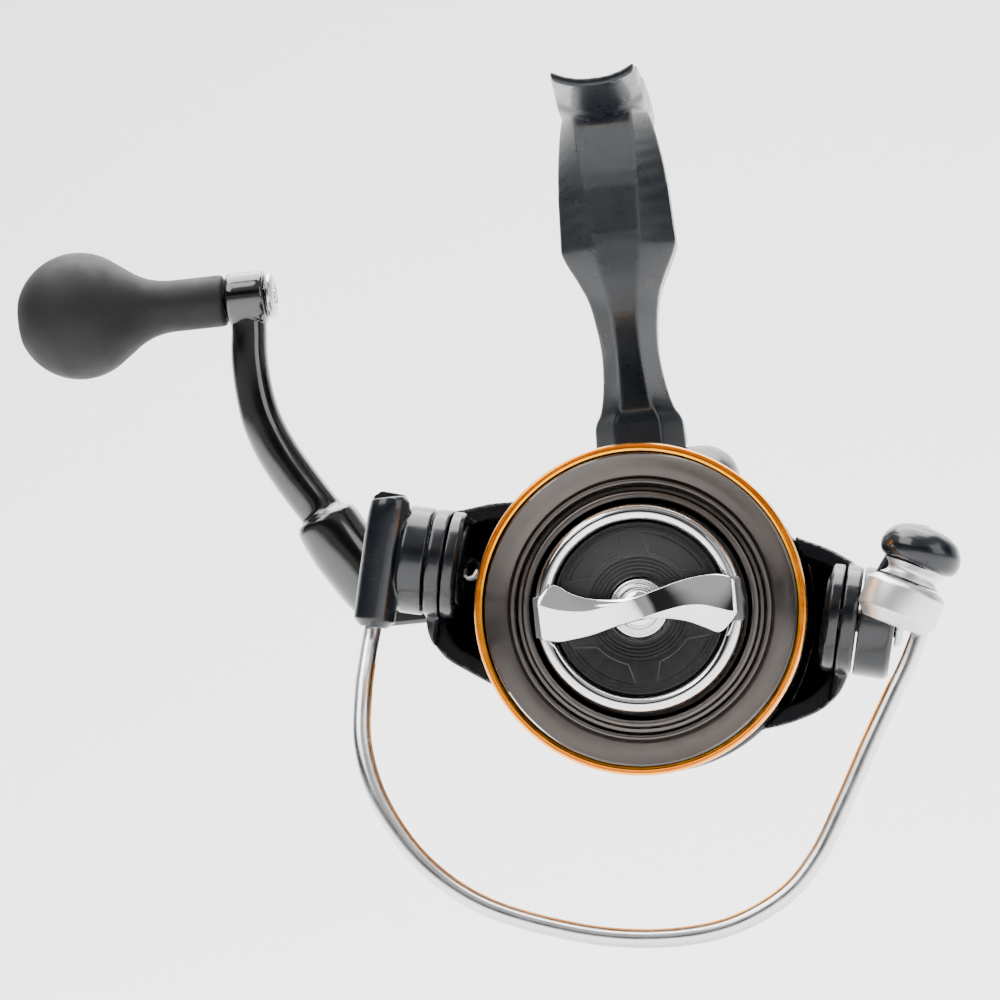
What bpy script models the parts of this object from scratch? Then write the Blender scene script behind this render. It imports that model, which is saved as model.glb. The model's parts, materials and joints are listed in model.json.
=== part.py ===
"""Spinning reel, modelled as an assembly of its separate pieces.

Frame: metres, +Z up. The origin is the middle of the foot's rod seat. The spool faces -Y and the
crank is on the -X side. Turned pieces are described by (radius, height) pairs in millimetres, and
each group of pieces that turns together hangs from an empty that stands on its axis.
"""

import math

import bmesh
import bpy
from mathutils import Matrix, Vector

MM = 0.001
PRESSURE_ANGLE = math.radians(20)

# ---------------------------------------------------------------- driving sizes, in millimetres
GAP = 0.3                   # clearance between pieces that seat on each other
SPOOL_DROP = 93.0           # rod seat to spool axis
ROTOR_REST = -13.5          # degrees, rotor about the spool axis, clockwise seen from the front

LIP_R = 28.0                # gold lip of the spool
LIP_FRONT = 47.6            # lip's front edge, forward of the origin
SKIRT_R = 27.2
SKIRT_REAR = 14.0
ARBOR_R = 21.0
RECESS_R = 17.9             # pocket for the drag washers
RECESS_FLOOR = 36.5
SHAFT_R = 2.5
SHAFT_FRONT = 46.9
SHAFT_REAR = -36.0
WASHER_T = 0.8
WASHER_COUNT = 4

KNOB_RING_R = 17.6
KNOB_RING_FRONT = 51.3
KNOB_DISH_R = 14.5
BAR_BACK = 52.0
BAR_FRONT = 55.6
NUT_R = 4.5
CLICK_TEETH = 18
CLICK_MODULE = 0.85

CUP_R = 24.0                # rotor cup inside the skirt
CUP_FRONT = 22.4
CUP_REAR = -1.0
FLANGE_R = 28.4
FLANGE_FRONT = 6.0
ARM_REACH = {"left": 38.4, "right": 36.2}   # outer face of each rotor arm
ARM_WALL = 2.8
PIVOT_F = 28.0              # bail pivot, forward of the origin
PIVOT_V = 3.4               # bail pivot, above the rotor's centre line
PIVOT_R = 9.4
PIVOT_PIN_R = 2.0
COVER_T = 2.8

WIRE_R = 1.5                # bail wire
STACK_U = 43.2              # line roller stack, at the middle of the wire's cylinder end
STACK_V = 7.4
STACK_F = 45.0
STACK_TILT = 13.5           # degrees from the rotor's vertical
CONE_R = 6.85
ROLLER_R = 5.2
CAP_R = 7.0

BODY_FRONT = 2.0            # body front face, in Y
BODY_WALL = 2.2
BODY_HALF = 17.3            # body half width in X
SPLIT_X = 5.5               # joint between housing and side cover
NOSE_R = 11.6
SCREW_R = 1.1
POST_R = 2.6
POST_REACH = 14.7           # inner end of each screw post, in the shell's side wall
BEARING_R = 7.6

DRIVE_Y = 20.0              # crank axis
DRIVE_RISE = 9.0            # crank axis above the spool axis
DRIVE_SHAFT_R = 3.0
DRIVE_BEARING_R = 5.2
BOSS_R = 8.0
PINION_R = SHAFT_R + 1.7
PINION_ROOT_R = SHAFT_R + 0.8
PINION_TUBE_R = SHAFT_R + 1.3
PINION_TEETH = 7
DRIVE_TEETH = 36
DRIVE_GEAR_R = 15.0
FACE_TOOTH_H = 1.9
FACE_TOOTH_LENGTH = 3.8
OSC_GEAR_LOW = 10.0
OSC_GEAR_HIGH = 12.6
OSC_MODULE = 0.8
OSC_DRIVE_TEETH = 14
OSC_TEETH = 28
OSC_ANGLE = -60.0           # degrees, oscillation gear seen from the crank axis
OSC_CRANK = 7.0             # eccentric pin's radius, half of the spool's stroke

HUB_R = 6.0
HUB_FROM = 21.5             # inner end of the crank's hub, out from the middle plane
FOLD_OUT = 41.0             # fold pin, out from the reel's middle plane
FORK_SLOT = 6.4
TONGUE_T = 5.8
CRANK_R = 59.0              # crank axis to knob axis
EYE_OUT = 72.2              # eye of the crank, out from the middle plane
EYE_R = 5.1
KNOB_R = 12.1
KNOB_NECK_R = 4.9
KNOB_BALL_OUT = 104.6

FOOT_LENGTH = 66.0
FOOT_HALF_WIDTH = 7.7
FOOT_DEPTH = 1.8            # rod seat down to the stem's top section
SADDLE_R = 14.6

DRIVE_Z = DRIVE_RISE - SPOOL_DROP


# ---------------------------------------------------------------- helpers
def clear_scene():
    for obj in list(bpy.data.objects):
        bpy.data.objects.remove(obj)


def make_collection(name):
    found = bpy.data.collections.new(name)
    bpy.context.scene.collection.children.link(found)
    return found


def finish(name, rgb, metallic, roughness):
    """A plain Principled material."""
    mat = bpy.data.materials.new(name)
    mat.use_nodes = True
    shader = mat.node_tree.nodes["Principled BSDF"]
    shader.inputs["Base Color"].default_value = (*rgb, 1.0)
    shader.inputs["Metallic"].default_value = metallic
    shader.inputs["Roughness"].default_value = roughness
    return mat


def axis_empty(name, place, rotation, parent=None):
    """An empty on an axis; rotation is in degrees."""
    empty = bpy.data.objects.new(name, None)
    PARTS.objects.link(empty)
    empty.parent = parent
    empty.location = Vector(place) * MM
    empty.rotation_euler = [math.radians(a) for a in rotation]
    return empty


def add_object(name, mesh, mat, parent, smooth=30.0):
    """A new object from a mesh in millimetres."""
    mesh.transform(Matrix.Scale(MM, 4))
    obj = bpy.data.objects.new(name, mesh)
    mesh.materials.append(mat)
    PARTS.objects.link(obj)
    obj.parent = parent
    mesh.shade_smooth()
    mesh.set_sharp_from_angle(angle=math.radians(smooth))
    return obj


def mesh_of(bm, name):
    mesh = bpy.data.meshes.new(name)
    bmesh.ops.recalc_face_normals(bm, faces=bm.faces)
    if bm.calc_volume(signed=True) < 0:
        bmesh.ops.reverse_faces(bm, faces=bm.faces)
    bm.to_mesh(mesh)
    bm.free()
    return mesh


def signed_area(points):
    turned = points[1:] + points[:1]
    return sum(a[0] * b[1] - b[0] * a[1] for a, b in zip(points, turned)) / 2


def turned(name, profile, mat, parent, steps=48):
    """A solid turned about local Z from (radius, height) pairs, closed, or open with both ends at 0."""
    points = list(profile)
    closed = points[0][0] > 0 or points[-1][0] > 0
    if signed_area(points) > 0:
        points.reverse()
    mesh = bpy.data.meshes.new(name)
    edges = [(i, i + 1) for i in range(len(points) - 1)]
    if closed:
        edges.append((len(points) - 1, 0))
    mesh.from_pydata([(r, 0.0, h) for r, h in points], edges, [])
    obj = add_object(name, mesh, mat, parent)
    screw = obj.modifiers.new("turn", "SCREW")
    screw.axis = "Z"
    screw.steps = steps
    screw.render_steps = steps
    screw.use_merge_vertices = True
    screw.merge_threshold = 0.00001
    screw.use_smooth_shade = True
    return obj


def ring_profile(inner, outer, low, high, ease=0.0):
    """The section of a ring, its outer edges eased."""
    if ease == 0.0:
        return [(outer, high), (outer, low), (inner, low), (inner, high)]
    return [(outer - ease, high), (outer, high - ease), (outer, low + ease), (outer - ease, low),
            (inner, low), (inner, high)]


def cylinder(name, radius, low, high, mat, parent, steps=32, turn=None):
    """A cylinder along local Z from low to high, then moved by the matrix turn."""
    bm = bmesh.new()
    bmesh.ops.create_cone(bm, cap_ends=True, segments=steps, radius1=radius, radius2=radius, depth=high - low,
                          matrix=Matrix.Translation((0, 0, (low + high) / 2)))
    if turn is not None:
        bm.transform(turn)
    return add_object(name, mesh_of(bm, name), mat, parent)


def box(name, low, high, mat, parent):
    """A box between two corners."""
    low, high = Vector(low), Vector(high)
    bm = bmesh.new()
    bmesh.ops.create_cube(bm, size=1.0)
    bmesh.ops.scale(bm, vec=high - low, verts=bm.verts)
    bmesh.ops.translate(bm, vec=(low + high) / 2, verts=bm.verts)
    return add_object(name, mesh_of(bm, name), mat, parent)


def plate(name, outline, low, high, mat, parent, turn=None):
    """A flat outline in local XY, filled and raised from low to high: a 2D curve made a mesh."""
    curve = bpy.data.curves.new(name, "CURVE")
    curve.dimensions = "2D"
    curve.fill_mode = "BOTH"
    curve.extrude = (high - low) / 2
    spline = curve.splines.new("POLY")
    spline.points.add(len(outline) - 1)
    for point, (x, y) in zip(spline.points, outline):
        point.co = (x, y, 0, 1)
    spline.use_cyclic_u = True
    return mesh_from_curve(name, curve, mat, parent, Matrix.Translation((0, 0, (low + high) / 2)), turn)


def mesh_from_curve(name, curve, mat, parent, move, turn=None):
    """Turns a curve into a closed mesh object with its caps welded."""
    guide = bpy.data.objects.new(name + "_guide", curve)
    bpy.context.scene.collection.objects.link(guide)
    bpy.context.view_layer.update()
    evaluated = guide.evaluated_get(bpy.context.evaluated_depsgraph_get())
    mesh = bpy.data.meshes.new_from_object(evaluated)
    bpy.data.objects.remove(guide)
    bm = bmesh.new()
    bm.from_mesh(mesh)
    bmesh.ops.remove_doubles(bm, verts=bm.verts, dist=0.001)
    bm.transform(move)
    if turn is not None:
        bm.transform(turn)
    return add_object(name, mesh_of(bm, name), mat, parent)


def tube(name, stations, mat, parent, sides=2):
    """A round bar through stations (x, y, z, radius), with filled caps."""
    curve = bpy.data.curves.new(name, "CURVE")
    curve.dimensions = "3D"
    curve.bevel_depth = 1.0
    curve.bevel_resolution = sides
    curve.use_fill_caps = True
    spline = curve.splines.new("POLY")
    spline.points.add(len(stations) - 1)
    for point, (x, y, z, radius) in zip(spline.points, stations):
        point.co = (x, y, z, 1)
        point.radius = radius
    return mesh_from_curve(name, curve, mat, parent, Matrix.Identity(4))


def smooth_path(stations, per_span, closed=False):
    """Catmull-Rom points through the stations, which are tuples of any length."""
    count = len(stations)
    found = []
    for i in range(count if closed else count - 1):
        if closed:
            a, b, c, d = (stations[(i + k) % count] for k in (-1, 0, 1, 2))
        else:
            a, b, c, d = (stations[min(max(i + k, 0), count - 1)] for k in (-1, 0, 1, 2))
        for step in range(per_span):
            t = step / per_span
            found.append(tuple(
                0.5 * (2 * q + (r - p) * t + (2 * p - 5 * q + 4 * r - s) * t * t
                       + (3 * q - p - 3 * r + s) * t ** 3)
                for p, q, r, s in zip(a, b, c, d)))
    if not closed:
        found.append(tuple(stations[-1]))
    return found


def loft(name, sections, mat, parent, smooth=30.0):
    """A closed skin over sections of equal point counts, with an end face on the first and the last."""
    bm = bmesh.new()
    rows = [[bm.verts.new(p) for p in section] for section in sections]
    for low, high in zip(rows, rows[1:]):
        for i in range(len(low)):
            j = (i + 1) % len(low)
            bm.faces.new((low[i], low[j], high[j], high[i]))
    bm.faces.new(rows[0][::-1])
    bm.faces.new(rows[-1])
    return add_object(name, mesh_of(bm, name), mat, parent, smooth)


def as_cutter(obj):
    """Moves a helper out of the parts' collection and out of the render."""
    PARTS.objects.unlink(obj)
    CUTTERS.objects.link(obj)
    obj.hide_render = True
    obj.display_type = "WIRE"
    return obj


def combine(target, other, operation):
    """A Boolean on target with other, which becomes a cutter."""
    modifier = target.modifiers.new(operation.lower(), "BOOLEAN")
    modifier.operation = operation
    modifier.object = as_cutter(other)
    modifier.solver = "EXACT"


def cut(target, other):
    combine(target, other, "DIFFERENCE")


def join(target, other):
    combine(target, other, "UNION")


def gear_outline(teeth, module, turn=0.0, backlash=0.25):
    """The outline of a spur gear, its first tooth at turn degrees. Its flanks are chords of the involute."""
    pitch = module * teeth / 2
    outer = pitch + 0.9 * module
    root = pitch - 1.2 * module
    base = pitch * math.cos(PRESSURE_ANGLE)
    half = (math.pi * module / 2 - backlash) / pitch / 2
    spread = math.tan(PRESSURE_ANGLE) - PRESSURE_ANGLE
    tip_angle = math.acos(base / outer)
    tip = half + spread - (math.tan(tip_angle) - tip_angle)
    foot = half + spread
    found = []
    for tooth in range(teeth):
        middle = math.radians(turn) + 2 * math.pi * tooth / teeth
        for radius, angle in ((root, -foot), (outer, -tip), (outer, tip), (root, foot)):
            found.append((radius * math.cos(middle + angle), radius * math.sin(middle + angle)))
    return found


def meshing_turn(teeth, partner_teeth, line):
    """Degrees that turn a partner gear so its tooth space faces the tooth nearest the centre line."""
    pitch_angle = 360 / teeth
    off_line = round(line / pitch_angle) * pitch_angle - line
    space = line + 180 - off_line * teeth / partner_teeth
    partner_pitch = 360 / partner_teeth
    return (space - partner_pitch / 2) % partner_pitch


def along_x(side=1):
    """The matrix that lays local Z along +X, or along -X."""
    return Matrix.Rotation(math.radians(90 * side), 4, "Y")


def along_y():
    """The matrix that lays local Z along +Y."""
    return Matrix.Rotation(math.radians(-90), 4, "X")


# ---------------------------------------------------------------- spool and drag
def washer_low(number):
    """The rear face of a drag washer, counted from the recess floor."""
    return RECESS_FLOOR + GAP + number * (WASHER_T + GAP)


def build_spool():
    recess = [(RECESS_R, 43.2), (18.7, 43.6), (18.7, 45.4), (19.4, 45.9), (20.2, 45.4), (20.6, 44.4),
              (21.2, 44.4), (21.5, 45.2), (22.1, 45.4), (22.5, 44.9), (LIP_R - 1.9, LIP_FRONT - 0.7)]
    outside = [(LIP_R - 1.9, 43.4), (ARBOR_R, 41.6), (ARBOR_R, 32.2), (SKIRT_R - 0.3, 30.8), (SKIRT_R, 30.2),
               (SKIRT_R, SKIRT_REAR)]
    inside = [(SKIRT_R - 1.3, SKIRT_REAR), (SKIRT_R - 1.3, 28.8), (19.0, 30.4), (9.0, 30.4), (9.0, 27.5),
              (SHAFT_R + GAP, 27.5), (SHAFT_R + GAP, RECESS_FLOOR), (RECESS_R, RECESS_FLOOR)]
    turned("spool", recess + outside + inside, GUNMETAL, SPOOL, steps=32)
    ring = LIP_R - 1.9 + GAP
    turned("spool_lip_ring", [(ring, LIP_FRONT - 0.3), (26.9, LIP_FRONT + 0.2), (27.6, LIP_FRONT),
                              (LIP_R, LIP_FRONT - 0.8), (LIP_R, 44.6), (27.4, 43.9), (ring, 43.7)],
           GOLD, SPOOL, steps=40)
    gear = plate("click_gear", gear_outline(CLICK_TEETH, CLICK_MODULE, backlash=0.4), 26.0, 27.2, STEEL,
                 SPOOL)
    cut(gear, cylinder("click_gear_bore", SHAFT_R + GAP, 25, 28, STEEL, SPOOL, steps=24))
    for number in range(WASHER_COUNT):
        felt = number % 2 == 0
        name = f"drag_washer_{'felt' if felt else 'metal'}_{number // 2 + 1}"
        low = washer_low(number)
        turned(name, ring_profile(SHAFT_R + GAP, RECESS_R - 0.5, low, low + WASHER_T),
               FELT if felt else STEEL, SPOOL, steps=20)
    clip_r = RECESS_R - 0.75
    clip_h = washer_low(WASHER_COUNT) + 0.45
    stations = []
    for step in range(21):
        angle = math.radians(15 + 16.5 * step)
        stations.append((clip_r * math.cos(angle), clip_r * math.sin(angle), clip_h, 0.4))
    tube("washer_clip", stations, STEEL, SPOOL, sides=1)


def build_drag_knob():
    flange = RECESS_R - 0.6
    turned("drag_knob_base",
           [(5.3, 49.9), (KNOB_DISH_R, 49.9), (KNOB_DISH_R, 45.9), (flange, 45.9), (flange, 43.9),
            (15.5, 43.9),
            (15.5, 44.9), (7.5, 44.9), (7.5, 42.6), (5.3, 42.6)], DARK_PLASTIC, SPOOL, steps=28)
    ring = turned("drag_knob_ring",
                  [(KNOB_DISH_R + GAP, 50.4), (15.3, KNOB_RING_FRONT), (16.4, KNOB_RING_FRONT), (16.6, 50.7),
                   (17.2, 50.5), (KNOB_RING_R, 49.8), (KNOB_RING_R, 46.2), (KNOB_DISH_R + GAP, 46.2)],
                  CHROME, SPOOL, steps=32)
    for side in (-1, 1):
        ends = sorted((side * 13.0, side * 19.0))
        cut(ring, box("knob_notch", (ends[0], -3.8, 48.0), (ends[1], 3.8, 53.0), CHROME, SPOOL))
    half = [(0.0, 2.1), (3.5, 2.3), (7.5, 3.5), (11.5, 4.6), (15.0, 4.2), (16.6, 2.4)]
    other = [(16.6, -2.6), (15.4, -4.6), (12.5, -5.0), (8.5, -3.4), (4.0, -2.2)]
    outline = smooth_path(half, 3) + smooth_path(other, 3)
    outline += [(-x, -y) for x, y in outline]
    bar = plate("drag_knob_bar", outline, BAR_BACK, BAR_FRONT, CHROME, SPOOL)
    for side in (-1, 1):
        ends = sorted((side * 15.1, side * 17.2))
        join(bar, box("bar_foot", (ends[0], -3.4, 48.4), (ends[1], 3.4, 53.6), CHROME, SPOOL))
    turned("drag_knob_hub", [(0.0, 51.7), (3.2, 51.7), (3.9, 51.2), (5.0, 50.9), (5.0, 47.6), (0.0, 47.6)],
           CHROME, SPOOL, steps=24)
    nut = cylinder("drag_nut", NUT_R, 43.4, 47.2, STEEL, SPOOL, steps=6)
    cut(nut, cylinder("drag_nut_bore", SHAFT_R + GAP, 43, 48, STEEL, SPOOL, steps=24))
    stations = []
    for step in range(29):
        angle = 2 * math.pi * step / 14
        stations.append((4.2 * math.cos(angle), 4.2 * math.sin(angle), 41.8 + 1.1 * step / 28, 0.22))
    tube("drag_spring", stations, STEEL, SPOOL, sides=0)


def build_main_shaft():
    turned("main_shaft", [(0.0, SHAFT_FRONT), (SHAFT_R - 0.4, SHAFT_FRONT), (SHAFT_R, SHAFT_FRONT - 0.4),
                          (SHAFT_R, SHAFT_REAR), (0.0, SHAFT_REAR)], STEEL, SPOOL, steps=24)


# ---------------------------------------------------------------- rotor
def arm_section(reach, sign):
    """The outside of a rotor arm, seen along the spool axis."""
    outer = [(19.0, 17.8), (30.0, 15.3), (34.0, 13.6), (reach - 0.8, 12.2), (reach, 10.0), (reach, -5.0),
             (reach - 1.2, -9.5), (reach - 4.2, -13.0), (27.0, -15.9), (19.0, -18.9)]
    return [(sign * u, v) for u, v in outer]


def arm_hollow(reach, sign):
    """The inside of a rotor arm, seen along the spool axis."""
    inner = [(19.0, -15.9), (26.2, -13.1), (reach - 6.0, -10.6), (reach - 3.9, -7.9),
             (reach - ARM_WALL, -4.0),
             (reach - ARM_WALL, 9.6), (33.0, 11.0), (29.5, 12.5), (19.0, 14.8)]
    return [(sign * u, v) for u, v in inner]


def arm_flank(reach, sign):
    """The side outline of a rotor arm, as (u, forward)."""
    inner = reach - ARM_WALL
    outline = [(17.0, CUP_REAR), (27.6, CUP_REAR), (31.0, 0.4), (34.5, 4.0), (reach - 0.8, 9.0),
               (reach + 1.0, 14.0),
               (reach + 1.0, PIVOT_F), (inner, PIVOT_F), (inner, PIVOT_F - 3.0), (17.0, 15.0)]
    return [(sign * u, f) for u, f in outline]


def arm_floor(reach, sign):
    """The side outline of the room inside a rotor arm, as (u, forward)."""
    outline = [(17.0, 2.0), (26.6, 2.0), (28.4, 2.6), (reach - 5.4, 5.0), (reach - 3.2, 7.6),
               (reach - 2.6, 8.4), (reach + 1.0, 14.5), (reach + 1.0, 41.0), (17.0, 41.0)]
    return [(sign * u, f) for u, f in outline]


def build_rotor():
    rotor = turned("rotor",
                   [(12.0, CUP_FRONT), (22.4, CUP_FRONT), (CUP_R, 20.8), (CUP_R, FLANGE_FRONT),
                    (FLANGE_R - 0.6, FLANGE_FRONT), (FLANGE_R, 5.2), (FLANGE_R, -0.2),
                    (FLANGE_R - 1.0, CUP_REAR),
                    (22.2, CUP_REAR), (22.2, 19.2), (14.0, 19.2), (12.6, 13.0), (PINION_TUBE_R + 0.4, 13.0),
                    (PINION_TUBE_R + 0.4, 16.0),
                    (11.2, 16.0), (12.0, 16.8)], ROTOR_BLACK, ROTOR, steps=32)
    swing = Matrix.Rotation(math.radians(90), 4, "X")
    for side, sign in (("left", -1), ("right", 1)):
        reach = ARM_REACH[side]
        arm = plate(f"rotor_arm_{side}", arm_section(reach, sign), CUP_REAR + 0.35, 40.0, ROTOR_BLACK, ROTOR)
        combine(arm, plate("arm_flank", arm_flank(reach, sign), -30, 30, ROTOR_BLACK, ROTOR, turn=swing),
                "INTERSECT")
        hollow = plate("arm_hollow", arm_hollow(reach, sign), 0.0, 42.0, ROTOR_BLACK, ROTOR)
        combine(hollow, plate("arm_floor", arm_floor(reach, sign), -29, 29, ROTOR_BLACK, ROTOR, turn=swing),
                "INTERSECT")
        cut(arm, hollow)
        cut(arm, cylinder("skirt_room", SKIRT_R + 1.5, FLANGE_FRONT, 60, ROTOR_BLACK, ROTOR, steps=32))
        cut(arm, cylinder("cup_room", CUP_R - 0.8, -3, 60, ROTOR_BLACK, ROTOR, steps=32))
        place = Matrix.Translation((0, PIVOT_V, PIVOT_F)) @ along_x(sign)
        join(arm, cylinder("pivot_disc", PIVOT_R, reach - ARM_WALL, reach, ROTOR_BLACK, ROTOR, turn=place))
        cut(arm, cylinder("pivot_bore", PIVOT_PIN_R + GAP, reach - 10, reach + 4, ROTOR_BLACK, ROTOR, 24,
                          place))
        join(rotor, arm)
        inner = reach - ARM_WALL - GAP
        cut(rotor, cylinder("cover_room", PIVOT_R + 0.2, inner - COVER_T - GAP, inner + GAP, ROTOR_BLACK,
                            ROTOR, 28, place))
        cover = cylinder(f"arm_cover_{side}", PIVOT_R - 0.1, inner - COVER_T, inner, ROTOR_BLACK, ROTOR, 28,
                         place)
        cut(cover, cylinder("cover_bore", PIVOT_PIN_R + GAP, inner - 1.2, inner + 1, ROTOR_BLACK, ROTOR, 24,
                            place))
    nut = cylinder("rotor_nut", 6.6, 16.3, 18.5, STEEL, ROTOR, steps=6)
    cut(nut, cylinder("rotor_nut_bore", PINION_TUBE_R + 0.2 + GAP, 16, 19, STEEL, ROTOR, steps=24))


def build_pinion():
    pinion = turned("pinion_gear", ring_profile(SHAFT_R + GAP, PINION_TUBE_R, -5.0, 18.4), BRASS, ROTOR,
                    steps=24)
    rows = []
    for step in range(5):
        low = -15.0 + 10.0 * step / 4
        twist = math.radians(14 * step)
        row = []
        for k in range(PINION_TEETH * 4):
            radius = PINION_R if k % 4 in (0, 1) else PINION_ROOT_R
            angle = twist + 2 * math.pi * (k + (0.25 if k % 4 == 0 else -0.25 if k % 4 == 1 else 0)) / (PINION_TEETH * 4)
            row.append((radius * math.cos(angle), radius * math.sin(angle), low))
        rows.append(row)
    teeth = loft("pinion_teeth", rows, BRASS, ROTOR)
    cut(teeth, cylinder("teeth_bore", SHAFT_R + GAP, -16, -4, BRASS, ROTOR, steps=24))
    join(pinion, teeth)


def build_arm_works():
    """The bail spring in the left arm and the kick lever in the right one."""
    reach = ARM_REACH["left"] - ARM_WALL
    stations = []
    for step in range(57):
        angle = 2 * math.pi * step / 8
        stations.append((-(reach - 2.4) + 1.8 * math.cos(angle), 3.4 + 1.8 * math.sin(angle),
                         9.2 + 8.4 * step / 56, 0.3))
    tube("bail_spring", stations, STEEL, ROTOR, sides=0)
    reach = ARM_REACH["right"] - ARM_WALL
    low = reach - 1.8
    outline = [(2.0, 17.6), (4.8, 17.6), (4.8, 10.9), (6.0, 9.8), (6.0, 8.8), (2.0, 8.8)]
    plate("kick_lever", outline, low, reach - 0.5, STEEL, ROTOR,
          turn=Matrix(((0, 0, 1, 0), (1, 0, 0, 0), (0, 1, 0, 0), (0, 0, 0, 1))))


# ---------------------------------------------------------------- bail
def turned_on_stack(name, profile, mat, steps=24):
    """A turned piece on the line roller's axis, with its heights along that axis."""
    return turned(name, profile, mat, STACK, steps)


def build_bail():
    right = ARM_REACH["right"]
    place = Matrix.Translation((0, PIVOT_V, PIVOT_F)) @ along_x(1)
    arm = cylinder("bail_arm", PIVOT_R, right + GAP, right + 6.4, ROTOR_BLACK, ROTOR, 28, place)
    strut = smooth_path([(39.6, 7.5, 32.0, 3.0), (42.6, 14.6, 36.2, 3.1), (44.7, 17.5, 41.5, 3.0),
                         (44.8, 17.6, 44.8, 2.5)], 3)
    join(arm, tube("arm_strut", strut, ROTOR_BLACK, ROTOR, sides=4))
    cap = turned_on_stack("arm_head", [(0.0, 13.0), (3.4, 12.7), (5.6, 11.6), (6.8, 9.9), (CAP_R, 8.6),
                                       (6.7, 7.2),
                                       (5.8, 6.3), (0.0, 6.3)], ROTOR_BLACK)
    join(arm, cap)
    cut(arm, cylinder("head_bore", 1.6 + GAP, 5, 9.6, ROTOR_BLACK, STACK, steps=20))
    cut(arm, cylinder("arm_pivot_bore", PIVOT_PIN_R + GAP, right - 2, right + 9, ROTOR_BLACK, ROTOR, 24,
                      place))
    left = ARM_REACH["left"]
    place = Matrix.Translation((0, PIVOT_V, PIVOT_F)) @ along_x(-1)
    holder = cylinder("bail_holder", PIVOT_R, left + GAP, left + 4.7, ROTOR_BLACK, ROTOR, 28, place)
    post = tube("holder_post", [(-46.1, 13.2, 33.0, 3.3), (-46.2, 9.0, 33.0, 3.7), (-46.2, -8.2, 33.0, 3.6)],
                ROTOR_BLACK, ROTOR, sides=4)
    join(holder, post)
    cut(holder, cylinder("holder_pivot_bore", PIVOT_PIN_R + GAP, left - 2, left + 9, ROTOR_BLACK, ROTOR, 24,
                         place))
    for side, sign in (("left", -1), ("right", 1)):
        reach = ARM_REACH[side]
        place = Matrix.Translation((0, PIVOT_V, PIVOT_F)) @ along_x(sign)
        if side == "left":
            head = [(0.0, reach + 4.4), (PIVOT_PIN_R, reach + 4.4)]
        else:
            head = [(0.0, reach + 8.2), (3.2, reach + 8.0), (3.6, reach + 7.3), (3.6, reach + 6.7),
                    (PIVOT_PIN_R, reach + 6.7)]
        tail = reach - ARM_WALL - GAP - 0.9
        profile = head + [(PIVOT_PIN_R, tail), (0.0, tail)]
        screw = turned(f"bail_pivot_screw_{side}", profile, STEEL, ROTOR, steps=24)
        screw.matrix_local = Matrix.Translation((0, PIVOT_V * MM, PIVOT_F * MM)) @ along_x(sign)


def build_bail_wire():
    route = [(-46.2, -8.6, 33.0), (-46.2, -10.6, 33.4), (-46.0, -14.4, 36.0), (-45.3, -21.0, 40.5),
             (-43.4, -30.0, 44.5),
             (-38.4, -39.0, 47.8), (-29.8, -47.4, 50.0), (-18.4, -52.8, 51.2), (-3.0, -54.8, 51.6),
             (10.0, -54.0, 51.4), (21.5, -50.6, 50.8), (30.2, -44.3, 50.0), (35.0, -36.8, 49.0),
             (38.3, -27.0, 48.0), (41.0, -17.5, 47.0), (43.6, -9.0, 46.0), (45.6, -2.8, 45.4),
             (46.9, 2.6, 45.1)]
    stations = [(*point, WIRE_R) for point in smooth_path(route, 2)]
    wire = tube("bail_wire", stations, CHROME, ROTOR, sides=2)
    cone = turned_on_stack("wire_end", [(0.0, 3.1), (5.4, 3.1), (CONE_R, 1.9), (CONE_R, -2.6), (5.3, -4.4),
                                        (0.0, -4.4)], CHROME, steps=28)
    join(wire, cone)
    sink = 2.3 + GAP
    cut(wire, turned_on_stack("cone_bore", [(0.0, 8.0), (1.6 + GAP, 8.0), (1.6 + GAP, -2.4), (sink, -2.4),
                                            (sink, -9.0), (0.0, -9.0)], CHROME, steps=20))
    turned_on_stack("line_roller", [(ROLLER_R, 6.0), (4.9, 5.7), (4.3, 5.1), (4.2, 4.6), (4.4, 4.0),
                                    (ROLLER_R, 3.4),
                                    (3.4, 3.4), (3.4, 6.0)], CHROME)
    turned_on_stack("roller_bush", ring_profile(1.6 + GAP, 3.1, 3.5, 5.9), BRASS, steps=24)
    turned_on_stack("roller_screw", [(0.0, 9.2), (1.6, 9.2), (1.6, -2.7), (2.3, -2.7), (2.3, -4.2),
                                     (1.9, -4.5),
                                     (0.0, -4.5)], STEEL, steps=24)


# ---------------------------------------------------------------- body
def rounded(points, keep):
    """Cuts every corner of a closed loop once, apart from those in keep."""
    found = []
    for i, point in enumerate(points):
        before, after = points[i - 1], points[(i + 1) % len(points)]
        if point in keep:
            found.append(point)
            continue
        for other in (before, after):
            found.append(tuple(0.75 * p + 0.25 * q for p, q in zip(point, other)))
    return found


def pulled_in(points, inset):
    """A convex clockwise loop with each side moved inwards."""
    sides = []
    for a, b in zip(points, points[1:] + points[:1]):
        run = Vector((b[0] - a[0], b[1] - a[1])).normalized()
        sides.append((Vector(a) + Vector((run.y, -run.x)) * inset, run))
    found = []
    for (a, run), (b, turn) in zip(sides[-1:] + sides[:-1], sides):
        along = ((b.x - a.x) * turn.y - (b.y - a.y) * turn.x) / (run.x * turn.y - run.y * turn.x)
        found.append(tuple(a + run * along))
    return found


def body_outline(inset):
    """The housing's side outline as (y, rise above the spool axis), pulled in by inset."""
    front = [(BODY_FRONT, -22.0), (BODY_FRONT, 20.0)]
    corners = [(3.4, 26.4), (9.0, 30.4), (17.0, 31.2), (26.0, 29.4), (35.0, 24.6), (43.5, 17.5), (50.0, 7.0),
               (50.8, -4.0), (46.6, -13.0), (38.0, -19.0), (26.0, -22.4), (13.0, -23.6)]
    return pulled_in(rounded(front + corners, front), inset)


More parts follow.
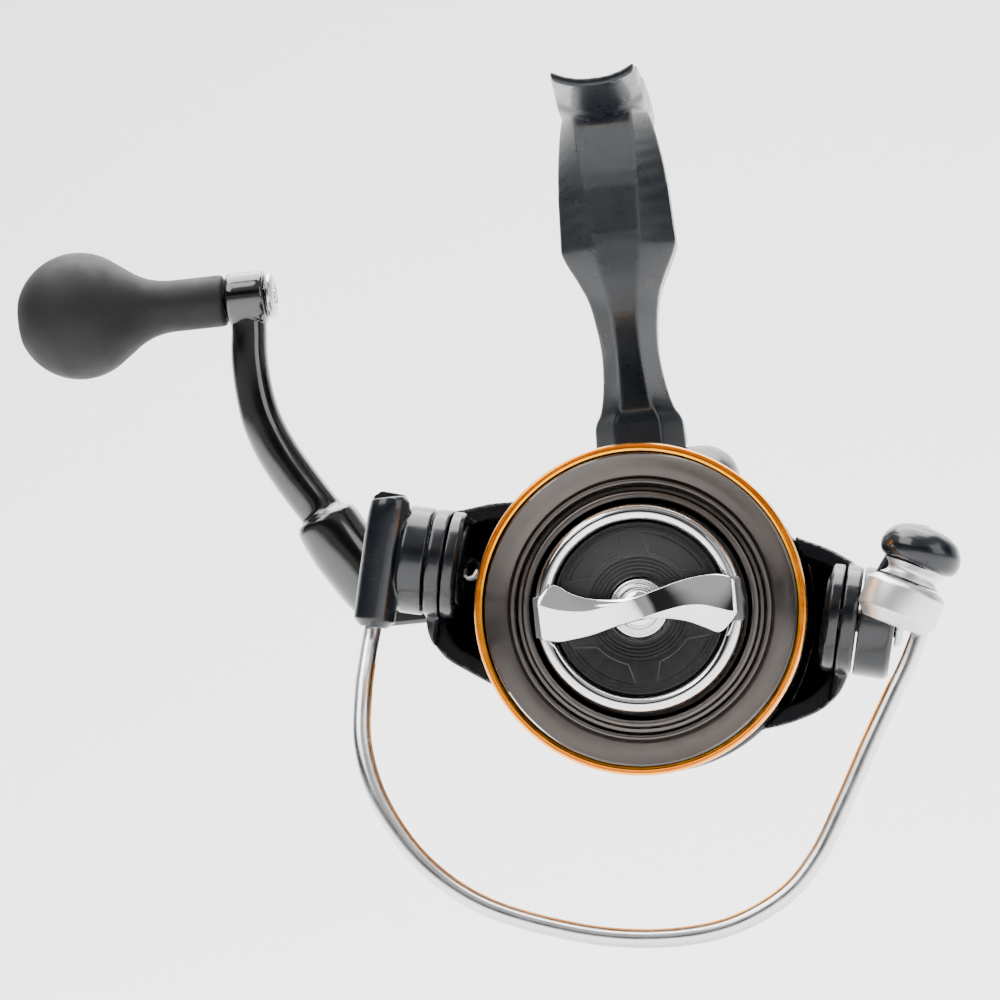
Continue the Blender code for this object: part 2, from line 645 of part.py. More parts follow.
def body_loft(name, stations, extra, mat):
    """A side outline carried across X through (x, inset) stations."""
    sections = []
    for x, inset in stations:
        sections.append([(x, y, rise - SPOOL_DROP) for y, rise in body_outline(inset + extra)])
    return loft(name, sections, mat, None, smooth=40.0)


def stem_sections():
    """The stem's octagonal sections: (rise, half width, front y, rear y, face share)."""
    levels = [(27.0, 8.3, 3.6, 23.0, 0.5), (35.4, 8.1, 2.4, 21.0, 0.5), (38.0, 6.8, 2.4, 17.5, 0.45),
              (42.0, 5.8, 0.8, 14.0, 0.4), (48.0, 5.2, -2.6, 11.0, 0.4), (53.0, 5.6, -5.0, 9.5, 0.4),
              (57.5, 6.4, -6.6, 9.0, 0.4), (61.0, 7.8, -7.6, 9.2, 0.4), (66.0, 10.2, -8.4, 9.8, 0.4),
              (69.0, 10.4, -8.8, 10.2, 0.4), (80.0, 9.8, -10.0, 12.0, 0.5), (88.0, 8.6, -13.0, 15.0, 0.6),
              (91.2, 7.6, -17.0, 19.0, 0.7)]
    sections = []
    root = levels[1][0]
    stretch = (SPOOL_DROP - FOOT_DEPTH - root) / (levels[-1][0] - root)
    for rise, half, front, rear, share in levels:
        z = (rise if rise < root else root + (rise - root) * stretch) - SPOOL_DROP
        face = half * share
        depth = (rear - front) * 0.3
        sections.append([(-face, front, z), (face, front, z), (half, front + depth, z),
                         (half, rear - depth, z),
                         (face, rear, z), (-face, rear, z), (-half, rear - depth, z),
                         (-half, front + depth, z)])
    return sections


def foot_sections():
    """Saddle-shaped sections along Y, thin at both tips."""
    half_length = FOOT_LENGTH / 2
    stations = [(-half_length, 1.7, 0.97), (-27.0, 2.1, 1.0), (-19.0, 3.0, 1.03), (-12.0, 4.4, 1.05),
                (12.0, 4.4, 1.05), (19.0, 3.0, 1.03), (27.0, 2.1, 1.0), (half_length, 1.7, 0.97)]
    segments = 7
    sections = []
    for y, thick, width in stations:
        half = FOOT_HALF_WIDTH * width
        top = []
        under = []
        for k in range(segments + 1):
            x = half * (2 * k / segments - 1)
            flat = FOOT_HALF_WIDTH * width / segments
            rise = SADDLE_R - math.sqrt(SADDLE_R ** 2 - x * x)
            level = SADDLE_R - math.sqrt(SADDLE_R ** 2 - flat * flat)
            top.append((x, y, rise - level))
            under.append((x * 0.96, y, (rise - level) * 0.9 - thick))
        sections.append(top + under[::-1])
    return sections


def build_body():
    wide = [(SPLIT_X, 0.0), (-10.5, 0.0), (-14.4, 1.3), (-16.4, 3.4), (-BODY_HALF, 6.4)]
    housing = body_loft("body_housing", wide, 0.0, BODY_BLACK)
    stem = loft("stem", stem_sections(), BODY_BLACK, None)
    cut(stem, body_loft("cover_line", [(SPLIT_X - 0.5, 0.0), (BODY_HALF, 0.0)], -GAP, BODY_BLACK))
    join(housing, stem)
    join(housing, loft("foot", foot_sections(), BODY_BLACK, None))
    nose = Matrix.Translation((0, 0, -SPOOL_DROP)) @ Matrix.Rotation(math.radians(90), 4, "X")
    join(housing, cylinder("nose", NOSE_R, -4.0, 11.4, BODY_BLACK, None, 28, nose))
    drive = Matrix.Translation((0, DRIVE_Y, DRIVE_Z))
    join(housing, cylinder("crank_boss", BOSS_R, 12.0, 21.0, BODY_BLACK, None, 20, drive @ along_x(-1)))
    room = [(SPLIT_X + 3.0, 0.0), (-10.5, 0.0), (-13.2, 1.0), (-14.4, 2.6)]
    cut(housing, body_loft("housing_room", room, BODY_WALL, BODY_BLACK))
    cut(housing, cylinder("nose_bore", BEARING_R + GAP, -9.0, 13.0, BODY_BLACK, None, 24, nose))
    cut(housing, cylinder("crank_bore", DRIVE_BEARING_R + GAP, 10.0, 25.0, BODY_BLACK, None, 20,
                          drive @ along_x(-1)))
    for y, rise in SCREW_PLACES:
        place = Matrix.Translation((0, y, rise - SPOOL_DROP)) @ along_x(1)
        join(housing, cylinder("screw_post", POST_R, -POST_REACH, SPLIT_X, BODY_BLACK, None, 12, place))
        cut(housing, cylinder("screw_thread", SCREW_R + GAP, -1.0, 8.0, BODY_BLACK, None, 10, place))
    lever_hole = Matrix.Translation((LEVER_X, LEVER_Y, -SPOOL_DROP))
    cut(housing, cylinder("lever_hole", 1.8 + GAP, -26.0, -16.0, BODY_BLACK, None, 24, lever_hole))

    closed = [(SPLIT_X + GAP, 0.0), (10.5, 0.0), (14.4, 1.3), (16.4, 3.4), (BODY_HALF, 6.4)]
    cover = body_loft("side_cover", closed, 0.0, BODY_BLACK)
    join(cover, cylinder("cover_boss", BOSS_R - 0.6, 13.0, 19.2, BODY_BLACK, None, 20, drive @ along_x(1)))
    room = [(SPLIT_X - 2.0, 0.0), (10.5, 0.0), (13.2, 1.0), (14.4, 2.6)]
    cut(cover, body_loft("cover_room", room, BODY_WALL, BODY_BLACK))
    cut(cover, cylinder("nose_room", NOSE_R + GAP, -4.0 - GAP, 0.0, BODY_BLACK, None, 28, nose))
    cut(cover, cylinder("cover_bore", DRIVE_BEARING_R + GAP, 10.0, 25.0, BODY_BLACK, None, 20,
                        drive @ along_x(1)))
    for number, (y, rise) in enumerate(SCREW_PLACES, 1):
        place = Matrix.Translation((0, y, rise - SPOOL_DROP)) @ along_x(1)
        join(cover, cylinder("cover_post", POST_R, SPLIT_X + GAP, POST_REACH, BODY_BLACK, None, 12, place))
        cut(cover, cylinder("screw_hole", SCREW_R + GAP, 4.0, 30.0, BODY_BLACK, None, 10, place))
        cut(cover, cylinder("screw_sink", 1.9 + GAP, 13.2, 30.0, BODY_BLACK, None, 12, place))
        screw = turned(f"cover_screw_{number}", [(0.0, 15.2), (1.6, 15.1), (1.9, 14.6), (1.9, 13.6),
                                                 (SCREW_R, 13.6),
                                                 (SCREW_R, 0.0), (0.0, 0.0)], STEEL, None, steps=14)
        for length, width in ((2.6, 0.6), (0.6, 2.6)):
            slot = box("cross_slot", (-length / 2, -width / 2, 14.4), (length / 2, width / 2, 16.0), STEEL,
                       None)
            slot.parent = screw
            cut(screw, slot)
        screw.matrix_local = Matrix.Translation(Vector((0, y, rise - SPOOL_DROP)) * MM) @ along_x(1)


def build_body_works():
    """Bearings, clutch, guide rod and anti-reverse lever, which stay with the body."""
    turned("pinion_bearing", ring_profile(PINION_TUBE_R + GAP, BEARING_R, -1.2, 2.4), STEEL, SPOOL, steps=20)
    turned("one_way_clutch", ring_profile(PINION_TUBE_R + GAP, BEARING_R, 2.7, 10.0), STEEL, SPOOL, steps=20)
    turned("clutch_retainer", ring_profile(5.0, NOSE_R - 0.4, 11.7, 12.5), STEEL, SPOOL, steps=20)
    for side, sign in (("left", 1), ("right", -1)):
        low = 14.9 if side == "left" else -18.6
        turned(f"drive_bearing_{side}", ring_profile(DRIVE_SHAFT_R + GAP, DRIVE_BEARING_R, low, low + 3.6),
               STEEL, DRIVE, steps=20)
    rod = Matrix.Translation((0, 0, -10.0 - SPOOL_DROP)) @ along_y()
    cylinder("guide_rod", 1.0, BODY_FRONT + BODY_WALL + GAP + 0.2, 43.0, STEEL, None, 16, rod)
    lever = cylinder("anti_reverse_lever", 3.4, -25.0, -23.4, DARK_PLASTIC, LEVER, 24)
    join(lever, cylinder("lever_pin", 1.8, -24.0, -18.6, DARK_PLASTIC, LEVER, 24))
    outline = smooth_path([(-2.6, 0.0), (-2.2, 8.0), (-2.8, 13.0), (0.0, 15.0), (2.8, 13.0), (2.2, 8.0),
                           (2.6, 0.0)], 3)
    join(lever, plate("lever_tab", outline, -24.9, -23.5, DARK_PLASTIC, LEVER))


# ---------------------------------------------------------------- drive
def build_drive_gear():
    """The face gear: its teeth face the pinion, and its plate carries the hub."""
    slots = DRIVE_TEETH * 4
    tip = PINION_R + 0.4
    root = tip + FACE_TOOTH_H
    lean = 0.06
    inner = DRIVE_GEAR_R - FACE_TOOTH_LENGTH
    levels = [(inner - 0.5, root + 0.4, root + 0.4, 0.0), (inner, tip, root, 0.0),
              (DRIVE_GEAR_R, tip, root, lean), (DRIVE_GEAR_R, root + 2.7, root + 2.7, lean)]
    rows = []
    for radius, crest, valley, slant in levels:
        row = []
        for k in range(slots):
            angle = 2 * math.pi * k / slots + slant
            row.append((radius * math.cos(angle), radius * math.sin(angle),
                        -(crest if k % 4 in (0, 1) else valley)))
        rows.append(row)
    gear = loft("drive_gear", rows, BRASS, DRIVE)
    join(gear, cylinder("gear_hub", 6.0, -13.0, -8.0, BRASS, DRIVE, steps=28))
    cut(gear, cylinder("gear_bore", DRIVE_SHAFT_R + GAP, -20, 0, BRASS, DRIVE, steps=24))


def build_drive():
    build_drive_gear()
    turned("drive_shaft", [(0.0, 30.5), (DRIVE_SHAFT_R - 0.5, 30.5), (DRIVE_SHAFT_R - 0.5, HUB_FROM - GAP),
                           (DRIVE_SHAFT_R, HUB_FROM - GAP),
                           (DRIVE_SHAFT_R, -20.0), (0.0, -20.0)], STEEL, DRIVE, steps=20)
    gear = plate("oscillation_drive_gear", gear_outline(OSC_DRIVE_TEETH, OSC_MODULE), OSC_GEAR_LOW,
                 OSC_GEAR_HIGH, BRASS, DRIVE)
    cut(gear, cylinder("small_bore", DRIVE_SHAFT_R + GAP, 9, 14, BRASS, DRIVE, steps=20))
    turned("handle_screw_cap", [(0.0, -25.4), (4.6, -25.4), (5.8, -24.6), (6.0, -20.4), (5.2, -19.8),
                                (DRIVE_SHAFT_R + 0.6, -20.3), (0.0, -20.3)],
           BODY_BLACK, DRIVE, steps=24)
    hub = turned("handle_hub", [(0.0, 44.0), (5.2, 44.0), (HUB_R, 43.2), (HUB_R, 25.0), (6.6, 24.0),
                                (6.6, 22.2),
                                (HUB_R, HUB_FROM), (DRIVE_SHAFT_R - 0.5 + GAP, HUB_FROM),
                                (DRIVE_SHAFT_R - 0.5 + GAP, 30.8),
                                (0.0, 30.8)], CRANK_BLACK, DRIVE, steps=24)
    half = FORK_SLOT / 2
    cut(hub, box("fork_slot", (-9, -half, 32.6), (9, half, 46), CRANK_BLACK, DRIVE))
    pin_place = Matrix.Translation((0, 0, FOLD_OUT)) @ along_y()
    cut(hub, cylinder("pin_bore", 1.6 + GAP, -9, 9, CRANK_BLACK, DRIVE, 24, pin_place))
    cylinder("fold_pin", 1.6, -5.5, 5.5, STEEL, DRIVE, 24, pin_place)


def build_oscillation():
    phase = meshing_turn(OSC_DRIVE_TEETH, OSC_TEETH, 90.0 - OSC_ANGLE)
    outline = gear_outline(OSC_TEETH, OSC_MODULE, phase)
    gear = plate("oscillation_gear", outline, OSC_GEAR_LOW, OSC_GEAR_HIGH, BRASS, OSC)
    hang = Matrix.Translation((-OSC_CRANK, 0, 0))
    join(gear, cylinder("eccentric_pin", 1.6, 8.3, 11.0, BRASS, OSC, 20, hang))
    cut(gear, cylinder("osc_bore", 1.6 + GAP, 7, 14, BRASS, OSC, steps=24))
    cylinder("oscillation_axle", 1.6, 8.6, 14.2, STEEL, OSC, steps=24)
    middle = OSC_PLACE[0]
    low = OSC_PLACE[1]
    slider = box("oscillation_slider", (-7.9, middle - 3.9, low - 9.6), (-3.0, middle + 3.9, low + 9.6),
                 BRASS, SLIDE)
    join(slider, box("slider_block", (-4.0, middle - 3.9, -13.0), (3.6, middle + 3.9, 3.8), BRASS, SLIDE))
    reach = OSC_CRANK + 1.6 + GAP
    cut(slider, box("slider_slot", (-9.0, middle - 1.9, low - reach), (-5.4, middle + 1.9, low + reach),
                    BRASS, SLIDE))
    shaft = cylinder("slider_bore", SHAFT_R + 0.1, middle - 8, middle + 8, BRASS, SLIDE, 24, along_y())
    cut(slider, shaft)
    rod = Matrix.Translation((0, 0, -10.0)) @ along_y()
    cut(slider, cylinder("rod_bore", 1.0 + GAP, middle - 8, middle + 8, BRASS, SLIDE, 16, rod))


# ---------------------------------------------------------------- crank
def build_handle():
    rise = DRIVE_RISE
    stations = [(-51.5, rise + 0.7, 5.0), (-53.0, rise + 1.6, 5.9), (-55.6, 14.6, 6.2), (-58.4, 19.2, 6.3),
                (-60.9, 24.0, 6.0), (-61.6, 25.4, 5.2), (-62.0, 26.2, 4.1), (-65.4, 31.6, 4.1),
                (-69.0, 38.0, 4.0), (-71.5, 44.4, 3.8), (-72.6, 51.0, 3.6), (-72.8, 57.0, 3.5), (-72.4, 62.0, 3.4),
                (-72.3, 66.5, 3.4)]
    local = [(z - rise, 0.0, -x - FOLD_OUT, r) for x, z, r in stations]
    arm = tube("handle_arm", local, CRANK_BLACK, FOLD, sides=4)
    half = TONGUE_T / 2
    tongue = [(-5.7, 0.0), (-5.7, 11.5), (-3.5, 13.2), (6.3, 14.5), (6.3, 9.0), (5.7, 5.0), (5.7, 0.0)]
    tongue += [(5.7 * math.cos(math.radians(a)), 5.7 * math.sin(math.radians(a))) for a in range(-15, -180,
                                                                                                 -15)]
    lay = Matrix(((1, 0, 0, 0), (0, 0, 1, 0), (0, 1, 0, 0), (0, 0, 0, 1)))
    join(arm, plate("crank_tongue", tongue, -half, half, CRANK_BLACK, FOLD, turn=lay))
    eye = Matrix.Translation((CRANK_R, 0, EYE_OUT - FOLD_OUT))
    join(arm, cylinder("eye", EYE_R, -3.8, 3.8, CRANK_BLACK, FOLD, 28, eye))
    cut(arm, cylinder("eye_bore", 2.0 + GAP, -6, 6, CRANK_BLACK, FOLD, 24, eye))
    cut(arm, cylinder("tongue_bore", 1.6 + GAP, -6, 6, CRANK_BLACK, FOLD, 24, along_y()))
    turned("knob_axle", [(0.0, 108.0 - EYE_OUT), (2.0, 108.0 - EYE_OUT), (2.0, -4.1), (4.2, -4.1),
                         (4.4, -4.5),
                         (4.0, -5.2), (0.0, -5.6)], STEEL, KNOB, steps=24)
    inner = EYE_R - 0.9
    neck = [(2.0 + GAP, inner), (4.6, inner), (KNOB_NECK_R, inner + 0.5), (KNOB_NECK_R, 15.6), (5.3, 17.8),
            (6.9, 20.8), (8.7, 23.0)]
    ball = []
    for degrees in range(40, 151, 22):
        angle = math.radians(degrees)
        ball.append((KNOB_R * math.sin(angle), KNOB_BALL_OUT - EYE_OUT - KNOB_R * math.cos(angle)))
    end = [(4.5, KNOB_BALL_OUT - EYE_OUT + 10.9), (0.0, KNOB_BALL_OUT - EYE_OUT + 11.2)]
    bore = [(0.0, 108.4 - EYE_OUT), (2.0 + GAP, 108.4 - EYE_OUT)]
    turned("handle_knob", bore + neck + ball + end, KNOB_BLACK, KNOB, steps=24)


# ---------------------------------------------------------------- assembly
clear_scene()
PARTS = make_collection("spinning_reel")
CUTTERS = make_collection("cutters")
CUTTERS.hide_render = True

GUNMETAL = finish("gunmetal", (0.10, 0.095, 0.09), 0.9, 0.35)
GOLD = finish("gold_anodised", (0.9, 0.42, 0.03), 1.0, 0.25)
CHROME = finish("chrome", (0.85, 0.85, 0.86), 1.0, 0.08)
STEEL = finish("steel", (0.55, 0.56, 0.58), 1.0, 0.3)
BRASS = finish("brass", (0.75, 0.55, 0.25), 1.0, 0.35)
FELT = finish("felt", (0.12, 0.10, 0.08), 0.0, 0.95)
DARK_PLASTIC = finish("dark_plastic", (0.02, 0.02, 0.025), 0.0, 0.4)
ROTOR_BLACK = finish("rotor_black", (0.03, 0.035, 0.045), 0.1, 0.3)
BODY_BLACK = finish("body_black", (0.03, 0.035, 0.045), 0.1, 0.35)
CRANK_BLACK = finish("crank_black", (0.012, 0.012, 0.014), 0.2, 0.2)
KNOB_BLACK = finish("knob_black", (0.02, 0.02, 0.02), 0.0, 0.6)

LEVER_X = -4.0
LEVER_Y = 30.0
SCREW_PLACES = [(8.0, -18.5), (46.0, 0.5), (35.0, 20.5)]
OSC_REACH = OSC_MODULE * (OSC_DRIVE_TEETH + OSC_TEETH) / 2 + 0.1
OSC_PLACE = (DRIVE_Y + OSC_REACH * math.cos(math.radians(OSC_ANGLE)),
             DRIVE_RISE + OSC_REACH * math.sin(math.radians(OSC_ANGLE)))

SPOOL = axis_empty("spool_axis", (0, 0, -SPOOL_DROP), (90, 0, 0))
ROTOR = axis_empty("rotor_axis", (0, 0, 0), (0, 0, ROTOR_REST), SPOOL)
STACK = axis_empty("line_roller_axis", (0, 0, 0), (0, 0, 0), ROTOR)
STACK.matrix_local = (Matrix.Translation(Vector((STACK_U, STACK_V, STACK_F)) * MM)
                      @ Matrix.Rotation(math.radians(-STACK_TILT), 4, "Z") @ along_y())
DRIVE = axis_empty("crank_axis", (0, DRIVE_Y, DRIVE_Z), (0, -90, 0))
OSC = axis_empty("oscillation_axis", (0, OSC_PLACE[0], OSC_PLACE[1] - SPOOL_DROP), (0, -90, 0))
FOLD = axis_empty("fold_axis", (-FOLD_OUT, DRIVE_Y, DRIVE_Z), (0, -90, 0))
KNOB = axis_empty("knob_axis", (-EYE_OUT, DRIVE_Y, DRIVE_Z + CRANK_R), (0, -90, 0))
SLIDE = axis_empty("slider_axis", (0, 0, -SPOOL_DROP), (0, 0, 0))
LEVER = axis_empty("lever_axis", (LEVER_X, LEVER_Y, -SPOOL_DROP), (0, 0, 0))

build_spool()
build_drag_knob()
build_main_shaft()
build_rotor()
build_pinion()
build_arm_works()
build_bail()
build_bail_wire()
build_body()
build_body_works()
build_drive()
build_oscillation()
build_handle()
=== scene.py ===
"""Looks of a front-drag spinning reel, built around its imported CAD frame.

Lengths are millimetres in the reel's own axes, unless a name says otherwise: +Z up, the rod seat at the
origin, the spool facing -Y and the crank on the -X side. Turned pieces are (radius, height) profiles.
"""

import json
import logging
import math
from dataclasses import dataclass
from enum import Enum
from typing import Callable, Sequence

import bmesh
import bpy
from mathutils import Matrix, Vector


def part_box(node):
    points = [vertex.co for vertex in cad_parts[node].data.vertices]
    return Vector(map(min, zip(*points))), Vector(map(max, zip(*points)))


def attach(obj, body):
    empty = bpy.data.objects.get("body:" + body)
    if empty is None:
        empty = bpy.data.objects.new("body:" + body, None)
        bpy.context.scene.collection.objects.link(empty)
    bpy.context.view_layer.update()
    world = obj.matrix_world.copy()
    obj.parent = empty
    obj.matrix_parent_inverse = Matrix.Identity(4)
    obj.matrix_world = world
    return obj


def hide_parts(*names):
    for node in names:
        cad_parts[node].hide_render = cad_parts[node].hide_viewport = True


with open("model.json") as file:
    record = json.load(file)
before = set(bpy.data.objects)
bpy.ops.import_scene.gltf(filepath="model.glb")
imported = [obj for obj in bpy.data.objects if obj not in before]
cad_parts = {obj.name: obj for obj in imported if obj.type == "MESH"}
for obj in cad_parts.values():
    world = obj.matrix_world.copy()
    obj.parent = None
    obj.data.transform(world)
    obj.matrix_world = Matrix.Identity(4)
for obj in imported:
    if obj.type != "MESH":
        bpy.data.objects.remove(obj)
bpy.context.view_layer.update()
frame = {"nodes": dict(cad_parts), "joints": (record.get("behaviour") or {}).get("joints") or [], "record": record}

LOG = logging.getLogger("spinning_reel")
MM = 0.001
Point2 = tuple[float, float]
Point3 = tuple[float, float, float]
Colour = tuple[float, float, float]


# ---------------------------------------------------------------- shader groups
def socket(group: bpy.types.NodeTree, name: str, kind: str, out: bool = False,
           value: float | None = None) -> None:
    """Adds a named socket to a node group.

    Args:
        group: the node group.
        name: the socket's name.
        kind: the socket's type, such as NodeSocketFloat.
        out: True for an output.
        value: the default of an input.
    """
    made = group.interface.new_socket(name=name, in_out="OUTPUT" if out else "INPUT", socket_type=kind)
    if value is not None:
        made.default_value = value


def new_group(name: str) -> tuple[bpy.types.NodeTree, bpy.types.Node, bpy.types.Node]:
    """Starts a shader node group.

    Args:
        name: the group's name.

    Returns:
        The group with its input and output nodes.
    """
    group = bpy.data.node_groups.new(name, "ShaderNodeTree")
    return group, group.nodes.new("NodeGroupInput"), group.nodes.new("NodeGroupOutput")


def math_node(tree: bpy.types.NodeTree, operation: str, *values: object) -> bpy.types.NodeSocket:
    """Adds a Math node and returns its result.

    Args:
        tree: the tree it goes in.
        operation: the node's operation.
        values: numbers or sockets, in the order of its inputs.

    Returns:
        The result's socket.
    """
    node = tree.nodes.new("ShaderNodeMath")
    node.operation = operation
    for slot, value in zip(node.inputs, values):
        if isinstance(value, bpy.types.NodeSocket):
            tree.links.new(value, slot)
        else:
            slot.default_value = value
    return node.outputs[0]


def noise_node(tree: bpy.types.NodeTree, vector: bpy.types.NodeSocket, scale: object,
               detail: float) -> bpy.types.NodeSocket:
    """Adds a Noise Texture and returns its value.

    Args:
        tree: the tree it goes in.
        vector: where it is read.
        scale: a number or a socket.
        detail: the octaves.

    Returns:
        The noise's value, about 0 to 1.
    """
    node = tree.nodes.new("ShaderNodeTexNoise")
    node.inputs["Detail"].default_value = detail
    tree.links.new(vector, node.inputs["Vector"])
    if isinstance(scale, bpy.types.NodeSocket):
        tree.links.new(scale, node.inputs["Scale"])
    else:
        node.inputs["Scale"].default_value = scale
    return node.outputs[0]


def turned_grain_group() -> bpy.types.NodeTree:
    """Fine rings about local Z, as a lathe leaves them, with faint streaks around the axis."""
    group, start, end = new_group("turned_grain")
    socket(group, "Vector", "NodeSocketVector")
    socket(group, "Scale", "NodeSocketFloat", value=4000.0)
    socket(group, "Height", "NodeSocketFloat", out=True)
    socket(group, "Streak", "NodeSocketFloat", out=True)
    split = group.nodes.new("ShaderNodeSeparateXYZ")
    group.links.new(start.outputs["Vector"], split.inputs[0])
    x, y, z = split.outputs
    radius = math_node(group, "SQRT", math_node(group, "ADD", math_node(group, "MULTIPLY", x, x),
                                                math_node(group, "MULTIPLY", y, y)))
    place = group.nodes.new("ShaderNodeCombineXYZ")
    group.links.new(radius, place.inputs[0])
    group.links.new(z, place.inputs[1])
    rings = noise_node(group, place.outputs[0], start.outputs["Scale"], 2.0)
    angle = math_node(group, "ARCTAN2", y, x)
    around = group.nodes.new("ShaderNodeCombineXYZ")
    group.links.new(math_node(group, "COSINE", angle), around.inputs[0])
    group.links.new(math_node(group, "SINE", angle), around.inputs[1])
    streak = noise_node(group, around.outputs[0], 9.0, 3.0)
    group.links.new(rings, end.inputs["Height"])
    group.links.new(streak, end.inputs["Streak"])
    return group


def moulded_grain_group() -> bpy.types.NodeTree:
    """The fine pebbled skin of moulded plastic or soft-touch coating."""
    group, start, end = new_group("moulded_grain")
    socket(group, "Vector", "NodeSocketVector")
    socket(group, "Scale", "NodeSocketFloat", value=2500.0)
    socket(group, "Height", "NodeSocketFloat", out=True)
    socket(group, "Streak", "NodeSocketFloat", out=True)
    fine = noise_node(group, start.outputs["Vector"], start.outputs["Scale"], 3.0)
    cells = group.nodes.new("ShaderNodeTexVoronoi")
    group.links.new(start.outputs["Vector"], cells.inputs["Vector"])
    group.links.new(math_node(group, "MULTIPLY", start.outputs["Scale"], 0.6), cells.inputs["Scale"])
    height = math_node(group, "ADD", math_node(group, "MULTIPLY", fine, 0.6),
                       math_node(group, "MULTIPLY", cells.outputs["Distance"], 0.4))
    group.links.new(height, end.inputs["Height"])
    group.links.new(noise_node(group, start.outputs["Vector"], 160.0, 4.0), end.inputs["Streak"])
    return group


def drawn_grain_group() -> bpy.types.NodeTree:
    """Faint scratches that run across each other, on drawn or polished metal."""
    group, start, end = new_group("drawn_grain")
    socket(group, "Vector", "NodeSocketVector")
    socket(group, "Scale", "NodeSocketFloat", value=900.0)
    socket(group, "Height", "NodeSocketFloat", out=True)
    socket(group, "Streak", "NodeSocketFloat", out=True)
    mapping = group.nodes.new("ShaderNodeMapping")
    mapping.inputs["Scale"].default_value = (1.0, 0.12, 1.0)
    group.links.new(start.outputs["Vector"], mapping.inputs["Vector"])
    scratch = noise_node(group, mapping.outputs[0], start.outputs["Scale"], 5.0)
    group.links.new(scratch, end.inputs["Height"])
    group.links.new(noise_node(group, start.outputs["Vector"], 220.0, 3.0), end.inputs["Streak"])
    return group


def felt_grain_group() -> bpy.types.NodeTree:
    """Matted fibres."""
    group, start, end = new_group("felt_grain")
    socket(group, "Vector", "NodeSocketVector")
    socket(group, "Scale", "NodeSocketFloat", value=1800.0)
    socket(group, "Height", "NodeSocketFloat", out=True)
    socket(group, "Streak", "NodeSocketFloat", out=True)
    waves = group.nodes.new("ShaderNodeTexWave")
    waves.inputs["Distortion"].default_value = 18.0
    waves.inputs["Detail"].default_value = 4.0
    group.links.new(start.outputs["Vector"], waves.inputs["Vector"])
    group.links.new(start.outputs["Scale"], waves.inputs["Scale"])
    group.links.new(waves.outputs["Fac"], end.inputs["Height"])
    group.links.new(noise_node(group, start.outputs["Vector"], 700.0, 4.0), end.inputs["Streak"])
    return group


def painted_edge_highlight_group() -> bpy.types.NodeTree:
    """A mask for a painted highlight: 1 on sharp edges, found by pointiness, broken up by noise."""
    group, start, end = new_group("painted_edge_highlight")
    socket(group, "Vector", "NodeSocketVector")
    socket(group, "Amount", "NodeSocketFloat", value=0.3)
    socket(group, "Mask", "NodeSocketFloat", out=True)
    geometry = group.nodes.new("ShaderNodeNewGeometry")
    edge = group.nodes.new("ShaderNodeMapRange")
    edge.inputs["From Min"].default_value = 0.53
    edge.inputs["From Max"].default_value = 0.66
    group.links.new(geometry.outputs["Pointiness"], edge.inputs["Value"])
    broken = noise_node(group, start.outputs["Vector"], 900.0, 4.0)
    mask = math_node(group, "MULTIPLY", math_node(group, "MULTIPLY", edge.outputs[0], broken),
                     start.outputs["Amount"])
    group.links.new(mask, end.inputs["Mask"])
    return group


class Grain(Enum):
    """The surface grain of a finish."""

    TURNED = "turned_grain"
    MOULDED = "moulded_grain"
    DRAWN = "drawn_grain"
    FELT = "felt_grain"


GROUP_MAKERS: dict[str, Callable[[], bpy.types.NodeTree]] = {
    "turned_grain": turned_grain_group, "moulded_grain": moulded_grain_group,
    "drawn_grain": drawn_grain_group, "felt_grain": felt_grain_group, "painted_edge_highlight": painted_edge_highlight_group}


def group_node(tree: bpy.types.NodeTree, name: str, vector: bpy.types.NodeSocket) -> bpy.types.Node:
    """Places a shared effect in a material, making the group the first time.

    Args:
        tree: the material's tree.
        name: the group's name.
        vector: where the effect is read.

    Returns:
        The group's node.
    """
    node = tree.nodes.new("ShaderNodeGroup")
    node.node_tree = bpy.data.node_groups.get(name) or GROUP_MAKERS[name]()
    tree.links.new(vector, node.inputs["Vector"])
    return node


